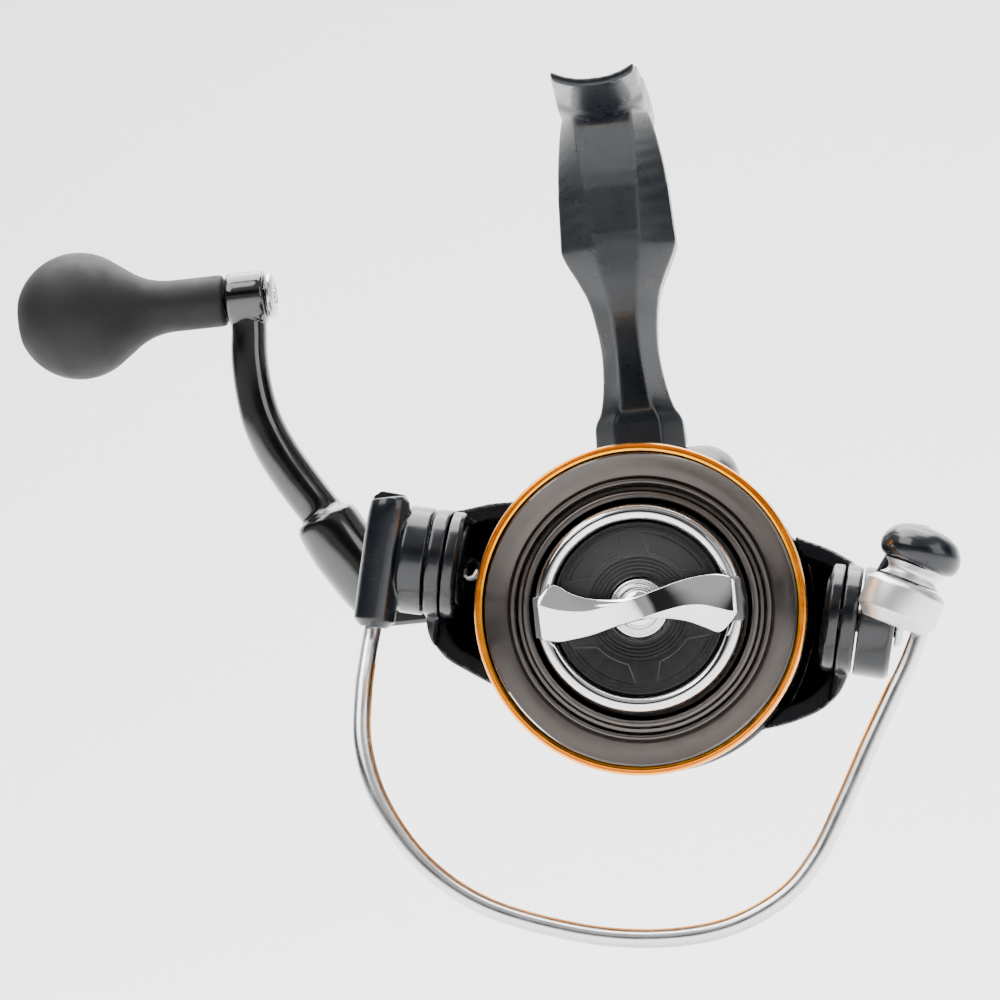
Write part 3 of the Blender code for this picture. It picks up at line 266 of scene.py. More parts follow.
@dataclass(frozen=True)
class Finish:
    """A finish of the reel and how its surface varies.

    Args:
        name: the material's name.
        colour: the base colour, linear.
        metallic: 0 or 1.
        roughness: the mean roughness.
        grain: the kind of surface grain.
        scale: the grain's scale per metre.
        bump: the grain's depth in millimetres.
        vary: how far roughness swings about its mean.
        tint: how far the colour swings.
        coat: the weight of a clear coat.
        anisotropy: the stretch of highlights around local Z.
        edge_sheen: the strength of the painted highlight that lightens edges.
        shine: the Principled specular level.
    """

    name: str
    colour: Colour
    metallic: float
    roughness: float
    grain: Grain
    scale: float
    bump: float
    vary: float = 0.06
    tint: float = 0.12
    coat: float = 0.0
    anisotropy: float = 0.0
    edge_sheen: float = 0.0
    shine: float = 0.5

    def material(self) -> bpy.types.Material:
        """Returns this finish's material, making it the first time."""
        found = bpy.data.materials.get(self.name)
        if found:
            return found
        mat = bpy.data.materials.new(self.name)
        mat.use_nodes = True
        tree = mat.node_tree
        shader = tree.nodes["Principled BSDF"]
        shader.inputs["Metallic"].default_value = self.metallic
        shader.inputs["Coat Weight"].default_value = self.coat
        shader.inputs["Specular IOR Level"].default_value = self.shine
        shader.inputs["Coat Roughness"].default_value = 0.06
        shader.inputs["Anisotropic"].default_value = self.anisotropy
        place = tree.nodes.new("ShaderNodeTexCoord").outputs["Object"]
        grain = group_node(tree, self.grain.value, place)
        grain.inputs["Scale"].default_value = self.scale
        self._colour(tree, shader, place, grain)
        self._relief(tree, shader, grain)
        if self.anisotropy:
            tangent = tree.nodes.new("ShaderNodeTangent")
            tangent.direction_type = "RADIAL"
            tangent.axis = "Z"
            tree.links.new(tangent.outputs[0], shader.inputs["Tangent"])
        return mat

    def _colour(self, tree: bpy.types.NodeTree, shader: bpy.types.Node, place: bpy.types.NodeSocket,
                grain: bpy.types.Node) -> None:
        """Feeds Base Color: the colour, its swing with the grain, and a painted highlight that lightens edges.

        Args:
            tree: the material's tree.
            shader: its Principled BSDF.
            place: where effects are read.
            grain: the grain's node.
        """
        mix = tree.nodes.new("ShaderNodeMix")
        mix.data_type = "RGBA"
        mix.inputs["A"].default_value = (*[c * (1 - self.tint) for c in self.colour], 1)
        mix.inputs["B"].default_value = (*[min(1.0, c * (1 + self.tint)) for c in self.colour], 1)
        tree.links.new(grain.outputs["Streak"], mix.inputs["Factor"])
        colour = mix.outputs["Result"]
        # Painted highlight: sharp edges get a lighter colour through the pointiness mask.
        if self.edge_sheen:
            sheen_mask = group_node(tree, "painted_edge_highlight", place)
            sheen_mask.inputs["Amount"].default_value = self.edge_sheen
            over = tree.nodes.new("ShaderNodeMix")
            over.data_type = "RGBA"
            tree.links.new(colour, over.inputs["A"])
            over.inputs["B"].default_value = (*[min(1.0, c * 3.0 + 0.03) for c in self.colour], 1)
            tree.links.new(sheen_mask.outputs["Mask"], over.inputs["Factor"])
            colour = over.outputs["Result"]
        tree.links.new(colour, shader.inputs["Base Color"])

    def _relief(self, tree: bpy.types.NodeTree, shader: bpy.types.Node, grain: bpy.types.Node) -> None:
        """Feeds Roughness and Normal from the grain.

        Args:
            tree: the material's tree.
            shader: its Principled BSDF.
            grain: the grain's node.
        """
        swing = tree.nodes.new("ShaderNodeMapRange")
        swing.inputs["From Min"].default_value = 0.3
        swing.inputs["From Max"].default_value = 0.7
        swing.inputs["To Min"].default_value = max(0.02, self.roughness - self.vary)
        swing.inputs["To Max"].default_value = min(1.0, self.roughness + self.vary)
        tree.links.new(grain.outputs["Streak"], swing.inputs["Value"])
        tree.links.new(swing.outputs[0], shader.inputs["Roughness"])
        bump = tree.nodes.new("ShaderNodeBump")
        bump.inputs["Distance"].default_value = self.bump * MM
        bump.inputs["Strength"].default_value = 0.6
        tree.links.new(grain.outputs["Height"], bump.inputs["Height"])
        tree.links.new(bump.outputs[0], shader.inputs["Normal"])


# edge_sheen in these finishes is a painted highlight on sharp edges.
BODY_BLACK = Finish("satin_blue_black", (0.0055, 0.0075, 0.0105), 0.0, 0.30, Grain.MOULDED, 2600, 0.02, 0.07,
                    0.18, coat=0.15, edge_sheen=0.25, shine=0.38)
ROTOR_BLACK = Finish("gloss_blue_black", (0.0045, 0.006, 0.0085), 0.0, 0.24, Grain.MOULDED, 2600, 0.012, 0.06,
                     0.18, coat=0.25, edge_sheen=0.2, shine=0.4)
DISH_BLACK = Finish("turned_black", (0.0045, 0.005, 0.006), 0.0, 0.34, Grain.TURNED, 5200, 0.03, 0.06, 0.2)
GREY_PLASTIC = Finish("grey_plastic", (0.06, 0.06, 0.062), 0.0, 0.42, Grain.MOULDED, 2600, 0.02)
CRANK_BLACK = Finish("gloss_black_paint", (0.003, 0.003, 0.0035), 0.0, 0.16, Grain.MOULDED, 900, 0.01, 0.05,
                     0.2, coat=0.9, edge_sheen=0.12)
KNOB_BLACK = Finish("soft_touch_black", (0.0045, 0.0045, 0.0047), 0.0, 0.62, Grain.MOULDED, 3800, 0.03, 0.08,
                    0.2, shine=0.3)
GUNMETAL = Finish("turned_gunmetal", (0.095, 0.086, 0.080), 1.0, 0.34, Grain.TURNED, 6500, 0.02, 0.05, 0.10,
                  anisotropy=0.75)
GOLD = Finish("orange_gold_anodised", (1.0, 0.36, 0.005), 1.0, 0.20, Grain.TURNED, 4200, 0.012, 0.05, 0.08,
              anisotropy=0.3)
CHROME = Finish("polished_chrome", (0.80, 0.80, 0.81), 1.0, 0.07, Grain.DRAWN, 500, 0.004, 0.03, 0.04)
BRIGHT = Finish("bright_aluminium", (0.74, 0.74, 0.75), 1.0, 0.20, Grain.TURNED, 5200, 0.015, 0.05, 0.06,
                anisotropy=0.3)
WIRE = Finish("satin_wire", (0.72, 0.72, 0.73), 1.0, 0.24, Grain.DRAWN, 1400, 0.008, 0.05, 0.06)
STEEL = Finish("turned_steel", (0.52, 0.53, 0.55), 1.0, 0.26, Grain.DRAWN, 2200, 0.012, 0.08, 0.10)
BRASS = Finish("machined_brass", (0.78, 0.56, 0.24), 1.0, 0.28, Grain.DRAWN, 2600, 0.015, 0.08, 0.10)
FELT = Finish("greased_felt", (0.24, 0.21, 0.17), 0.0, 0.9, Grain.FELT, 1800, 0.12, 0.05, 0.35)


# ---------------------------------------------------------------- mesh helpers
def spread_frame(origin: Vector, axis: Vector, side: Vector) -> Matrix:
    """The matrix of a frame whose Z lies along axis and whose X is nearest to side.

    Args:
        origin: the frame's origin, in millimetres.
        axis: the Z direction.
        side: the wished X direction.

    Returns:
        The matrix from the frame to the reel, in millimetres.
    """
    z = axis.normalized()
    x = (side - z * side.dot(z)).normalized()
    y = z.cross(x)
    return Matrix(((x.x, y.x, z.x, origin.x), (x.y, y.y, z.y, origin.y), (x.z, y.z, z.z, origin.z),
                   (0, 0, 0, 1)))


def joint_named(name: str) -> dict:
    """Returns the joint of that name."""
    return next(j for j in frame["joints"] if j["name"] == name)


def joint_place(name: str) -> Vector:
    """Returns a point on a joint's axis, in millimetres."""
    return Vector(joint_named(name)["pos_m"]) / MM


def joint_axis(name: str) -> Vector:
    """Returns a joint's axis."""
    return Vector(joint_named(name)["axis"])


def mesh_from(points: Sequence[Sequence[float]], faces: Sequence[Sequence[int]], name: str) -> bpy.types.Mesh:
    """Makes a mesh with its faces turned outwards.

    Args:
        points: the corners, in millimetres.
        faces: corner numbers of each face.
        name: the mesh's name.

    Returns:
        The mesh, still in millimetres.
    """
    mesh = bpy.data.meshes.new(name)
    mesh.from_pydata([tuple(p) for p in points], [], [tuple(f) for f in faces])
    bm = bmesh.new()
    bm.from_mesh(mesh)
    bmesh.ops.recalc_face_normals(bm, faces=bm.faces)
    if bm.calc_volume(signed=True) < 0:
        bmesh.ops.reverse_faces(bm, faces=bm.faces)
    bm.to_mesh(mesh)
    bm.free()
    return mesh


def eased(points: Sequence[Point2], radius: float, steps: int = 3, closed: bool = False) -> list[Point2]:
    """Rounds the corners of a profile or outline.

    Args:
        points: the corners.
        radius: how far each rounding reaches along its sides.
        steps: the pieces of each rounding.
        closed: True for an outline.

    Returns:
        The rounded points.
    """
    count = len(points)
    found: list[Point2] = []
    for i in range(count):
        if not closed and i in (0, count - 1):
            found.append(tuple(points[i]))
            continue
        corner = Vector(points[i])
        before, after = Vector(points[i - 1]), Vector(points[(i + 1) % count])
        reach = min(radius, (before - corner).length * 0.42, (after - corner).length * 0.42)
        a = corner + (before - corner).normalized() * reach
        b = corner + (after - corner).normalized() * reach
        for step in range(steps + 1):
            t = step / steps
            p = a * (1 - t) ** 2 + corner * 2 * t * (1 - t) + b * t * t
            found.append((p.x, p.y))
    return found


def arc(centre: Point2, radius: float, start: float, end: float, steps: int = 8) -> list[Point2]:
    """Points of an arc.

    Args:
        centre: its centre.
        radius: its radius.
        start: the first angle, in degrees.
        end: the last angle, in degrees.
        steps: the number of pieces.

    Returns:
        The points.
    """
    angles = [math.radians(start + (end - start) * k / steps) for k in range(steps + 1)]
    return [(centre[0] + radius * math.cos(a), centre[1] + radius * math.sin(a)) for a in angles]


def turned(profile: Sequence[Point2], segments: int = 96) -> bpy.types.Mesh:
    """A solid turned about Z.

    Args:
        profile: (radius, height) points. Both ends at radius 0 make a full solid, and otherwise it is a ring.
        segments: the divisions around the axis.

    Returns:
        The mesh.
    """
    points: list[Point3] = []
    rows: list[list[int]] = []
    for radius, height in profile:
        if radius < 1e-6:
            points.append((0.0, 0.0, height))
            rows.append([len(points) - 1] * segments)
            continue
        row = []
        for k in range(segments):
            angle = 2 * math.pi * k / segments
            points.append((radius * math.cos(angle), radius * math.sin(angle), height))
            row.append(len(points) - 1)
        rows.append(row)
    closed = profile[0][0] > 1e-6
    pairs = list(zip(rows, rows[1:] + rows[:1])) if closed else list(zip(rows, rows[1:]))
    faces = []
    for low, high in pairs:
        for k in range(segments):
            n = (k + 1) % segments
            face = list(dict.fromkeys((low[k], low[n], high[n], high[k])))
            if len(face) > 2:
                faces.append(face)
    return mesh_from(points, faces, "turned")


def skin(sections: Sequence[Sequence[Point3]]) -> bpy.types.Mesh:
    """A closed skin over loops of equal point counts.

    Args:
        sections: the loops, in order.

    Returns:
        The mesh.
    """
    count = len(sections[0])
    points = [p for section in sections for p in section]
    faces = []
    for row in range(len(sections) - 1):
        for k in range(count):
            n = (k + 1) % count
            faces.append((row * count + k, row * count + n, (row + 1) * count + n, (row + 1) * count + k))
    faces.append(tuple(range(count)))
    faces.append(tuple((len(sections) - 1) * count + k for k in range(count)))
    return mesh_from(points, faces, "skin")


def smooth_path(stations: Sequence[Sequence[float]], per_span: int,
                closed: bool = False) -> list[tuple[float, ...]]:
    """Catmull-Rom points through stations.

    Args:
        stations: tuples of any length.
        per_span: points for each span.
        closed: True for a loop.

    Returns:
        The points.
    """
    count = len(stations)
    found: list[tuple[float, ...]] = []
    for i in range(count if closed else count - 1):
        if closed:
            a, b, c, d = (stations[(i + k) % count] for k in (-1, 0, 1, 2))
        else:
            a, b, c, d = (stations[min(max(i + k, 0), count - 1)] for k in (-1, 0, 1, 2))
        for step in range(per_span):
            t = step / per_span
            found.append(tuple(
                0.5 * (2 * q + (r - p) * t + (2 * p - 5 * q + 4 * r - s) * t * t
                       + (3 * q - p - 3 * r + s) * t ** 3)
                for p, q, r, s in zip(a, b, c, d)))
    if not closed:
        found.append(tuple(stations[-1]))
    return found


def swept(stations: Sequence[Sequence[float]], sides: int = 28, cap: int = 3) -> bpy.types.Mesh:
    """A bar along stations (x, y, z, radius) with rounded ends.

    Args:
        stations: the route and its radius.
        sides: the divisions around it.
        cap: the rings of each rounded end, or 0 for flat ends.

    Returns:
        The mesh.
    """
    route = [Vector(s[:3]) for s in stations]
    radii = [s[3] for s in stations]
    last = len(route) - 1
    runs = [(route[min(i + 1, last)] - route[max(i - 1, 0)]).normalized() for i in range(last + 1)]
    side = runs[0].orthogonal().normalized()
    sections = []

    def ring(centre: Vector, run: Vector, across: Vector, radius: float) -> list[Point3]:
        """One loop around the route."""
        other = run.cross(across)
        loop = []
        for k in range(sides):
            angle = 2 * math.pi * k / sides
            p = centre + across * (radius * math.cos(angle)) + other * (radius * math.sin(angle))
            loop.append(tuple(p))
        return loop

    for i, (centre, run, radius) in enumerate(zip(route, runs, radii)):
        side = (side - run * side.dot(run)).normalized()
        if i == 0 and cap:
            for k in range(cap):
                a = math.pi / 2 * k / cap
                sections.append(ring(centre - run * (0.35 * radius * (1 - math.sin(a))), run, side,
                                     radius * (0.65 + 0.35 * math.sin(a))))
        sections.append(ring(centre, run, side, radius))
        if i == len(route) - 1 and cap:
            for k in range(cap - 1, -1, -1):
                a = math.pi / 2 * k / cap
                sections.append(ring(centre + run * (0.35 * radius * (1 - math.sin(a))), run, side,
                                     radius * (0.65 + 0.35 * math.sin(a))))
    return skin(sections)


def slab(outline: Sequence[Point2], low: float, high: float, bevel: float = 0.0) -> bpy.types.Mesh:
    """A flat outline raised from low to high, its edges bevelled.

    Args:
        outline: the loop in XY.
        low: its lower height.
        high: its upper height.
        bevel: the width of the bevel.

    Returns:
        The mesh.
    """
    mesh = skin([[(x, y, low) for x, y in outline], [(x, y, high) for x, y in outline]])
    return bevelled(mesh, bevel) if bevel else mesh


def box(low: Point3, high: Point3, bevel: float = 0.0) -> bpy.types.Mesh:
    """A box between two corners, its edges bevelled."""
    return slab([(low[0], low[1]), (high[0], low[1]), (high[0], high[1]), (low[0], high[1])], low[2],
                high[2], bevel)


def bevelled(mesh: bpy.types.Mesh, width: float, segments: int = 3, angle: float = 32.0) -> bpy.types.Mesh:
    """Bevels the sharp edges of a mesh.

    Args:
        mesh: the mesh, in millimetres.
        width: the bevel's width.
        segments: its divisions.
        angle: edges sharper than this are bevelled, in degrees.

    Returns:
        The same mesh.
    """
    bm = bmesh.new()
    bm.from_mesh(mesh)
    sharp = [e for e in bm.edges if len(e.link_faces) == 2 and e.calc_face_angle() > math.radians(angle)]
    bmesh.ops.bevel(bm, geom=sharp, offset=width, segments=segments, profile=0.5, affect="EDGES",
                    clamp_overlap=True)
    bm.to_mesh(mesh)
    bm.free()
    return mesh


def moved(mesh: bpy.types.Mesh, matrix: Matrix) -> bpy.types.Mesh:
    """Moves a mesh by a matrix and returns it."""
    mesh.transform(matrix)
    return mesh


def as_object(mesh: bpy.types.Mesh) -> bpy.types.Object:
    """Links a mesh as a helper object."""
    obj = bpy.data.objects.new("helper", mesh)
    bpy.context.scene.collection.objects.link(obj)
    return obj


def evaluated(obj: bpy.types.Object) -> bpy.types.Mesh:
    """Takes a helper object's evaluated mesh and removes the helper."""
    bpy.context.view_layer.update()
    mesh = bpy.data.meshes.new_from_object(obj.evaluated_get(bpy.context.evaluated_depsgraph_get()))
    bpy.data.objects.remove(obj)
    return mesh


def boolean(mesh: bpy.types.Mesh, other: bpy.types.Mesh, operation: str) -> bpy.types.Mesh:
    """A Boolean of two closed meshes.

    Args:
        mesh: the first mesh.
        other: the second mesh.
        operation: UNION, DIFFERENCE or INTERSECT.

    Returns:
        The result.
    """
    target, tool = as_object(mesh), as_object(other)
    modifier = target.modifiers.new("shape", "BOOLEAN")
    modifier.operation = operation
    modifier.object = tool
    modifier.solver = "MANIFOLD"
    result = evaluated(target)
    bpy.data.objects.remove(tool)
    return result


def fused(meshes: Sequence[bpy.types.Mesh], voxel: float, rounds: int = 5,
          cutters: Sequence[bpy.types.Mesh] = ()) -> bpy.types.Mesh:
    """Melts overlapping solids into one skin with soft inner and outer corners.

    Args:
        meshes: the solids.
        voxel: the fineness, in millimetres.
        rounds: how often it is smoothed.
        cutters: solids taken away first from each solid.

    Returns:
        The mesh.
    """
    bm = bmesh.new()
    for mesh in meshes:
        for cutter in cutters:
            mesh = boolean(mesh, cutter.copy(), "DIFFERENCE")
        bm.from_mesh(mesh)
    joined = bpy.data.meshes.new("fused")
    bm.to_mesh(joined)
    bm.free()
    obj = as_object(joined)
    remesh = obj.modifiers.new("melt", "REMESH")
    remesh.mode = "VOXEL"
    remesh.voxel_size = voxel
    smooth = obj.modifiers.new("soften", "SMOOTH")
    smooth.factor = 0.5
    smooth.iterations = rounds
    return evaluated(obj)


def add_piece(name: str, mesh: bpy.types.Mesh, place: Matrix, finish: Finish, body: str,
              stands_for: Sequence[str] = (), sharp: float = 35.0) -> bpy.types.Object:
    """Adds a dressed piece that rides on a CAD body.

    Args:
        name: the piece's name.
        mesh: its mesh in millimetres, in its own frame.
        place: the matrix from its frame to the reel, in millimetres.
        finish: its finish.
        body: the CAD body that it rides on.
        stands_for: the CAD nodes that it replaces.
        sharp: edges sharper than this stay crisp, in degrees.

    Returns:
        The object.
    """
    mesh.transform(Matrix.Scale(MM, 4))
    obj = bpy.data.objects.new(name, mesh)
    mesh.name = name
    bpy.context.scene.collection.objects.link(obj)
    where = place.copy()
    where.translation = place.translation * MM
    obj.matrix_world = where
    mesh.materials.clear()
    mesh.materials.append(finish.material())
    mesh.shade_smooth()
    mesh.set_sharp_from_angle(angle=math.radians(sharp))
    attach(obj, body)
    if stands_for:
        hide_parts(*stands_for)
    LOG.info("%s: %d faces", name, len(mesh.polygons))
    return obj


def along_x(side: float) -> Matrix:
    """The matrix that lays local Z along +X, or along -X."""
    return Matrix.Rotation(math.radians(90 * side), 4, "Y")


def along_y() -> Matrix:
    """The matrix that lays local Z along +Y."""
    return Matrix.Rotation(math.radians(-90), 4, "X")


IDENTITY = Matrix.Identity(4)
AXIS_PLACE = joint_place("rotor_spin")
FORWARD = joint_axis("rotor_spin")
SPOOL = spread_frame(AXIS_PLACE, FORWARD, Vector((1, 0, 0)))
ROTOR = spread_frame(AXIS_PLACE, FORWARD, -joint_axis("bail_flip"))
STACK = spread_frame(joint_place("line_roller_spin"), joint_axis("line_roller_spin"),
                     -joint_axis("bail_flip"))
DRIVE = spread_frame(joint_place("handle_crank"), joint_axis("handle_crank"), Vector((0, 0, 1)))
FOLD = spread_frame(joint_place("handle_fold"), joint_axis("handle_crank"), Vector((0, 0, 1)))
KNOB = spread_frame(joint_place("knob_spin"), joint_axis("knob_spin"), Vector((0, 0, 1)))
SPOOL_DROP = -AXIS_PLACE.z


# ---------------------------------------------------------------- spool
@dataclass
class Spool:
    """The gunmetal spool and its gold lip."""

    lip_r: float = 28.0
    lip_front: float = 47.8
    lip_inner: float = 26.4
    skirt_r: float = 27.2
    skirt_rear: float = 14.0
    arbor_r: float = 21.0
    recess_r: float = 18.05
    recess_floor: float = 36.5
    shaft_hole: float = 2.8
    segments: int = 160

    def front(self) -> list[Point2]:
        """The front face: a crisp inner edge, two turned beads and the cone out to the lip."""
        bead = [(18.5, 44.2)] + arc((19.3, 45.15), 0.78, 190, -10, 10) + [(20.25, 44.5)]
        second = [(20.75, 44.4)] + arc((21.65, 44.95), 0.55, 180, 10, 8)
        cone = [(22.6, 44.75), (23.6, 45.15), (24.8, 45.85), (self.lip_inner - 0.35, 46.95)]
        return [(self.recess_r, 43.4), (18.3, 43.7)] + bead + second + cone

    def profile(self) -> list[Point2]:
        """The whole section, from the recess round the skirt and back."""
        rim = self.lip_inner - 0.35
        outside = [(rim, 43.5), (22.4, 42.0), (self.arbor_r + 0.5, 41.5), (self.arbor_r, 40.9),
                   (self.arbor_r, 32.9), (self.arbor_r + 0.6, 32.2), (self.skirt_r - 0.7, 31.1),
                   (self.skirt_r - 0.1, 30.6), (self.skirt_r, 29.9), (self.skirt_r, 27.2),
                   (self.skirt_r - 0.35, 27.0),
                   (self.skirt_r - 0.35, 25.9), (self.skirt_r, 25.7), (self.skirt_r, 17.2),
                   (self.skirt_r - 0.3, 17.0), (self.skirt_r - 0.3, 16.4), (self.skirt_r, 16.2),
                   (self.skirt_r, self.skirt_rear + 0.3), (self.skirt_r - 0.3, self.skirt_rear)]
        inside = [(self.skirt_r - 1.3, self.skirt_rear + 0.1), (self.skirt_r - 1.3, 28.6), (24.4, 29.6),
                  (19.0, 30.4), (9.0, 30.4), (9.0, 27.5), (self.shaft_hole, 27.5),
                  (self.shaft_hole, self.recess_floor), (self.recess_r, self.recess_floor)]
        return self.front() + outside + inside

    def lip(self) -> list[Point2]:
        """The gold lip: a rounded outer edge and a fine groove just inside it."""
        front, outer, inner = self.lip_front, self.lip_r, self.lip_inner
        return [(inner, front - 0.75), (inner + 0.25, front - 0.12), (inner + 0.6, front),
                (27.15, front - 0.02),
                (27.28, front - 0.3), (27.42, front - 0.3), (27.52, front - 0.1), (27.75, front - 0.18),
                (outer - 0.04, front - 0.6), (outer, front - 1.1), (outer, 45.1), (outer - 0.12, 44.6),
                (27.3, 44.0), (inner, 43.7)]

    def build(self) -> None:
        """Adds the spool and its lip."""
        add_piece("spool_body", turned(self.profile(), self.segments), SPOOL, GUNMETAL, "spool",
                  ["spool"])
        add_piece("spool_gold_lip", turned(self.lip(), self.segments), SPOOL, GOLD, "spool",
                  ["spool_lip_ring"])


# ---------------------------------------------------------------- drag knob
@dataclass
class DragKnob:
    """The front drag knob: black dish, chrome ring, twisted chrome bar and stepped hub."""

    dish_r: float = 14.45
    dish_front: float = 49.9
    ring_outer: float = 17.45
    ring_front: float = 51.3
    groove_from: float = 5.9
    groove_pitch: float = 0.62
    groove_count: int = 5
    sector_outer: float = 12.6
    sector_inner: float = 9.5
    bar_back: float = 52.2

    def dish(self) -> list[Point2]:
        """The dish's section with its turned grooves."""
        face = self.dish_front - 0.75
        section: list[Point2] = [(5.35, 42.6), (5.35, face - 0.4), (5.6, face - 0.25)]
        for k in range(self.groove_count):
            r = self.groove_from + k * self.groove_pitch
            step = 0.09 * k
            section += [(r - 0.16, face - 0.2 + step), (r - 0.08, face + step), (r + 0.18, face + step),
                        (r + 0.26, face - 0.16 + step)]
        section += [(9.0, face + 0.25), (13.2, face + 0.4), (13.35, face + 0.62), (13.6, face + 0.62),
                    (13.7, face + 0.42),
                    (13.95, face + 0.42), (14.05, face + 0.75), (14.35, face + 0.75),
                    (self.dish_r, face + 0.6)]
        section += [(self.dish_r, 45.9), (17.3, 45.9), (17.3, 43.9), (15.5, 43.9), (15.5, 44.9), (7.5, 44.9),
                    (7.5, 42.6)]
        return section

    def ring(self) -> bpy.types.Mesh:
        """The stepped chrome ring with a notch at each end of the bar."""
        front = self.ring_front
        section = [(14.75, 46.4), (14.75, 49.9), (14.95, 50.55), (15.15, 50.95), (15.45, front - 0.12),
                   (15.9, front - 0.02), (16.1, front),
                   (16.4, front - 0.06), (16.46, front - 0.3), (16.56, front - 0.32), (16.66, front - 0.2),
                   (16.86, front - 0.28), (16.92, front - 0.55), (17.02, front - 0.57), (17.12, front - 0.5),
                   (self.ring_outer - 0.05, front - 0.85), (self.ring_outer, front - 1.3),
                   (self.ring_outer, 46.4)]
        mesh = turned(section, 160)
        for side in (-1, 1):
            ends = sorted((side * 13.5, side * 19.0))
            mesh = boolean(mesh, box((ends[0], -3.7, 48.4), (ends[1], 3.7, 53.0)), "DIFFERENCE")
        return mesh

    def bar(self) -> bpy.types.Mesh:
        """The twisted bar. Two creases run from opposite ends to its middle."""
        # Each station is x, lower edge, lower crease, upper crease, upper edge, then their four heights.
        stations = [
            (-16.4, -3.4, -3.35, 2.1, 2.3, 53.5, 53.6, 55.2, 55.1),
            (-15.9, -3.9, -3.8, 1.9, 3.4, 53.6, 53.8, 55.4, 54.6),
            (-13.6, -4.35, -4.25, 1.0, 5.1, 53.7, 53.9, 55.5, 53.7),
            (-10.8, -4.2, -4.1, 0.4, 3.4, 53.7, 53.9, 55.4, 53.8),
            (-7.8, -3.75, -3.6, 0.25, 2.25, 53.8, 54.0, 55.2, 54.0),
            (-3.7, -2.8, -2.6, 0.95, 1.65, 53.9, 54.2, 54.9, 54.4),
            (0.0, -2.15, -1.95, 1.65, 1.95, 54.1, 54.5, 54.7, 54.3),
            (3.7, -2.1, -1.1, 2.7, 2.9, 54.2, 54.9, 54.4, 54.1),
            (7.8, -2.95, -0.45, 3.8, 3.95, 53.9, 55.2, 54.2, 53.9),
            (10.8, -4.3, -0.6, 4.2, 4.3, 53.6, 55.4, 54.1, 53.8),
            (13.2, -5.3, -1.35, 4.2, 4.35, 53.5, 55.5, 54.0, 53.8),
            (15.4, -3.6, -2.1, 3.7, 3.85, 53.9, 55.3, 53.9, 53.7),
            (16.4, -2.4, -2.2, 2.9, 3.0, 54.6, 54.9, 53.8, 53.6)]
        sections = []
        for x, y0, y1, y2, y3, z0, z1, z2, z3 in smooth_path(stations, 5):
            middle = 0.5 * (y1 + y2)
            dip = 0.5 * (z1 + z2) - 0.12
            base = self.bar_back
            sections.append([(x, y0, base), (x, y0, z0), (x, y1, z1), (x, middle, dip), (x, y2, z2),
                             (x, y3, z3),
                             (x, y3, base), (x, middle, base - 0.1)])
        return bevelled(skin(sections), 0.22, 3, 24)

    def hub(self) -> list[Point2]:
        """The hub's stepped dome."""
        return [(0.0, 51.75), (1.2, 51.7), (2.2, 51.5), (2.9, 51.15), (3.1, 50.75), (3.35, 50.7),
                (3.55, 50.95),
                (3.8, 51.0), (4.0, 50.85), (4.1, 50.35), (4.35, 50.3), (4.6, 50.5), (4.85, 50.35),
                (4.98, 49.9),
                (4.98, 47.6), (0.0, 47.6)]

    def sector(self, start: float, sweep: float) -> bpy.types.Mesh:
        """The raised outline of one sector of the dish.

        Args:
            start: the angle of its straight side, in degrees.
            sweep: its signed angle, in degrees.

        Returns:
            The mesh.
        """
        outer = arc((0, 0), self.sector_outer, start, start + sweep, 20)
        turn = math.copysign(1.0, sweep)
        inner = arc((0, 0), self.sector_inner, start + sweep - 12 * turn, start + 8 * turn, 16)
        height = self.dish_front - 0.42
        loop = [(x, y, height, 0.17) for x, y in outer + inner]
        loop.append(loop[0])
        return swept(loop, sides=6, cap=0)

    def build(self) -> None:
        """Adds the knob's pieces."""
        add_piece("drag_knob_dish", turned(self.dish(), 160), SPOOL, DISH_BLACK, "drag_knob",
                  ["drag_knob_base"])
        for number, (start, sweep) in enumerate(((98, 56), (82, -56), (262, -56), (278, 56)), 1):
            add_piece(f"dish_sector_{number}", self.sector(start, sweep), SPOOL, DISH_BLACK, "drag_knob")
        add_piece("drag_knob_chrome_ring", self.ring(), SPOOL, CHROME, "drag_knob",
                  ["drag_knob_ring"])
        add_piece("drag_knob_wing", self.bar(), SPOOL, CHROME, "drag_knob", ["drag_knob_bar"],
                  sharp=60)
        add_piece("drag_knob_dome", turned(eased(self.hub(), 0.1, 2), 96), SPOOL, CHROME, "drag_knob",
                  ["drag_knob_hub"], sharp=50)
        for side, sign in (("left", -1), ("right", 1)):
            ends = sorted((sign * 15.6, sign * 17.35))
            block = box((ends[0], -3.45, 46.6), (ends[1], 3.45, 53.3), 0.3)
            add_piece(f"wing_end_{side}", block, SPOOL, GREY_PLASTIC, "drag_knob")


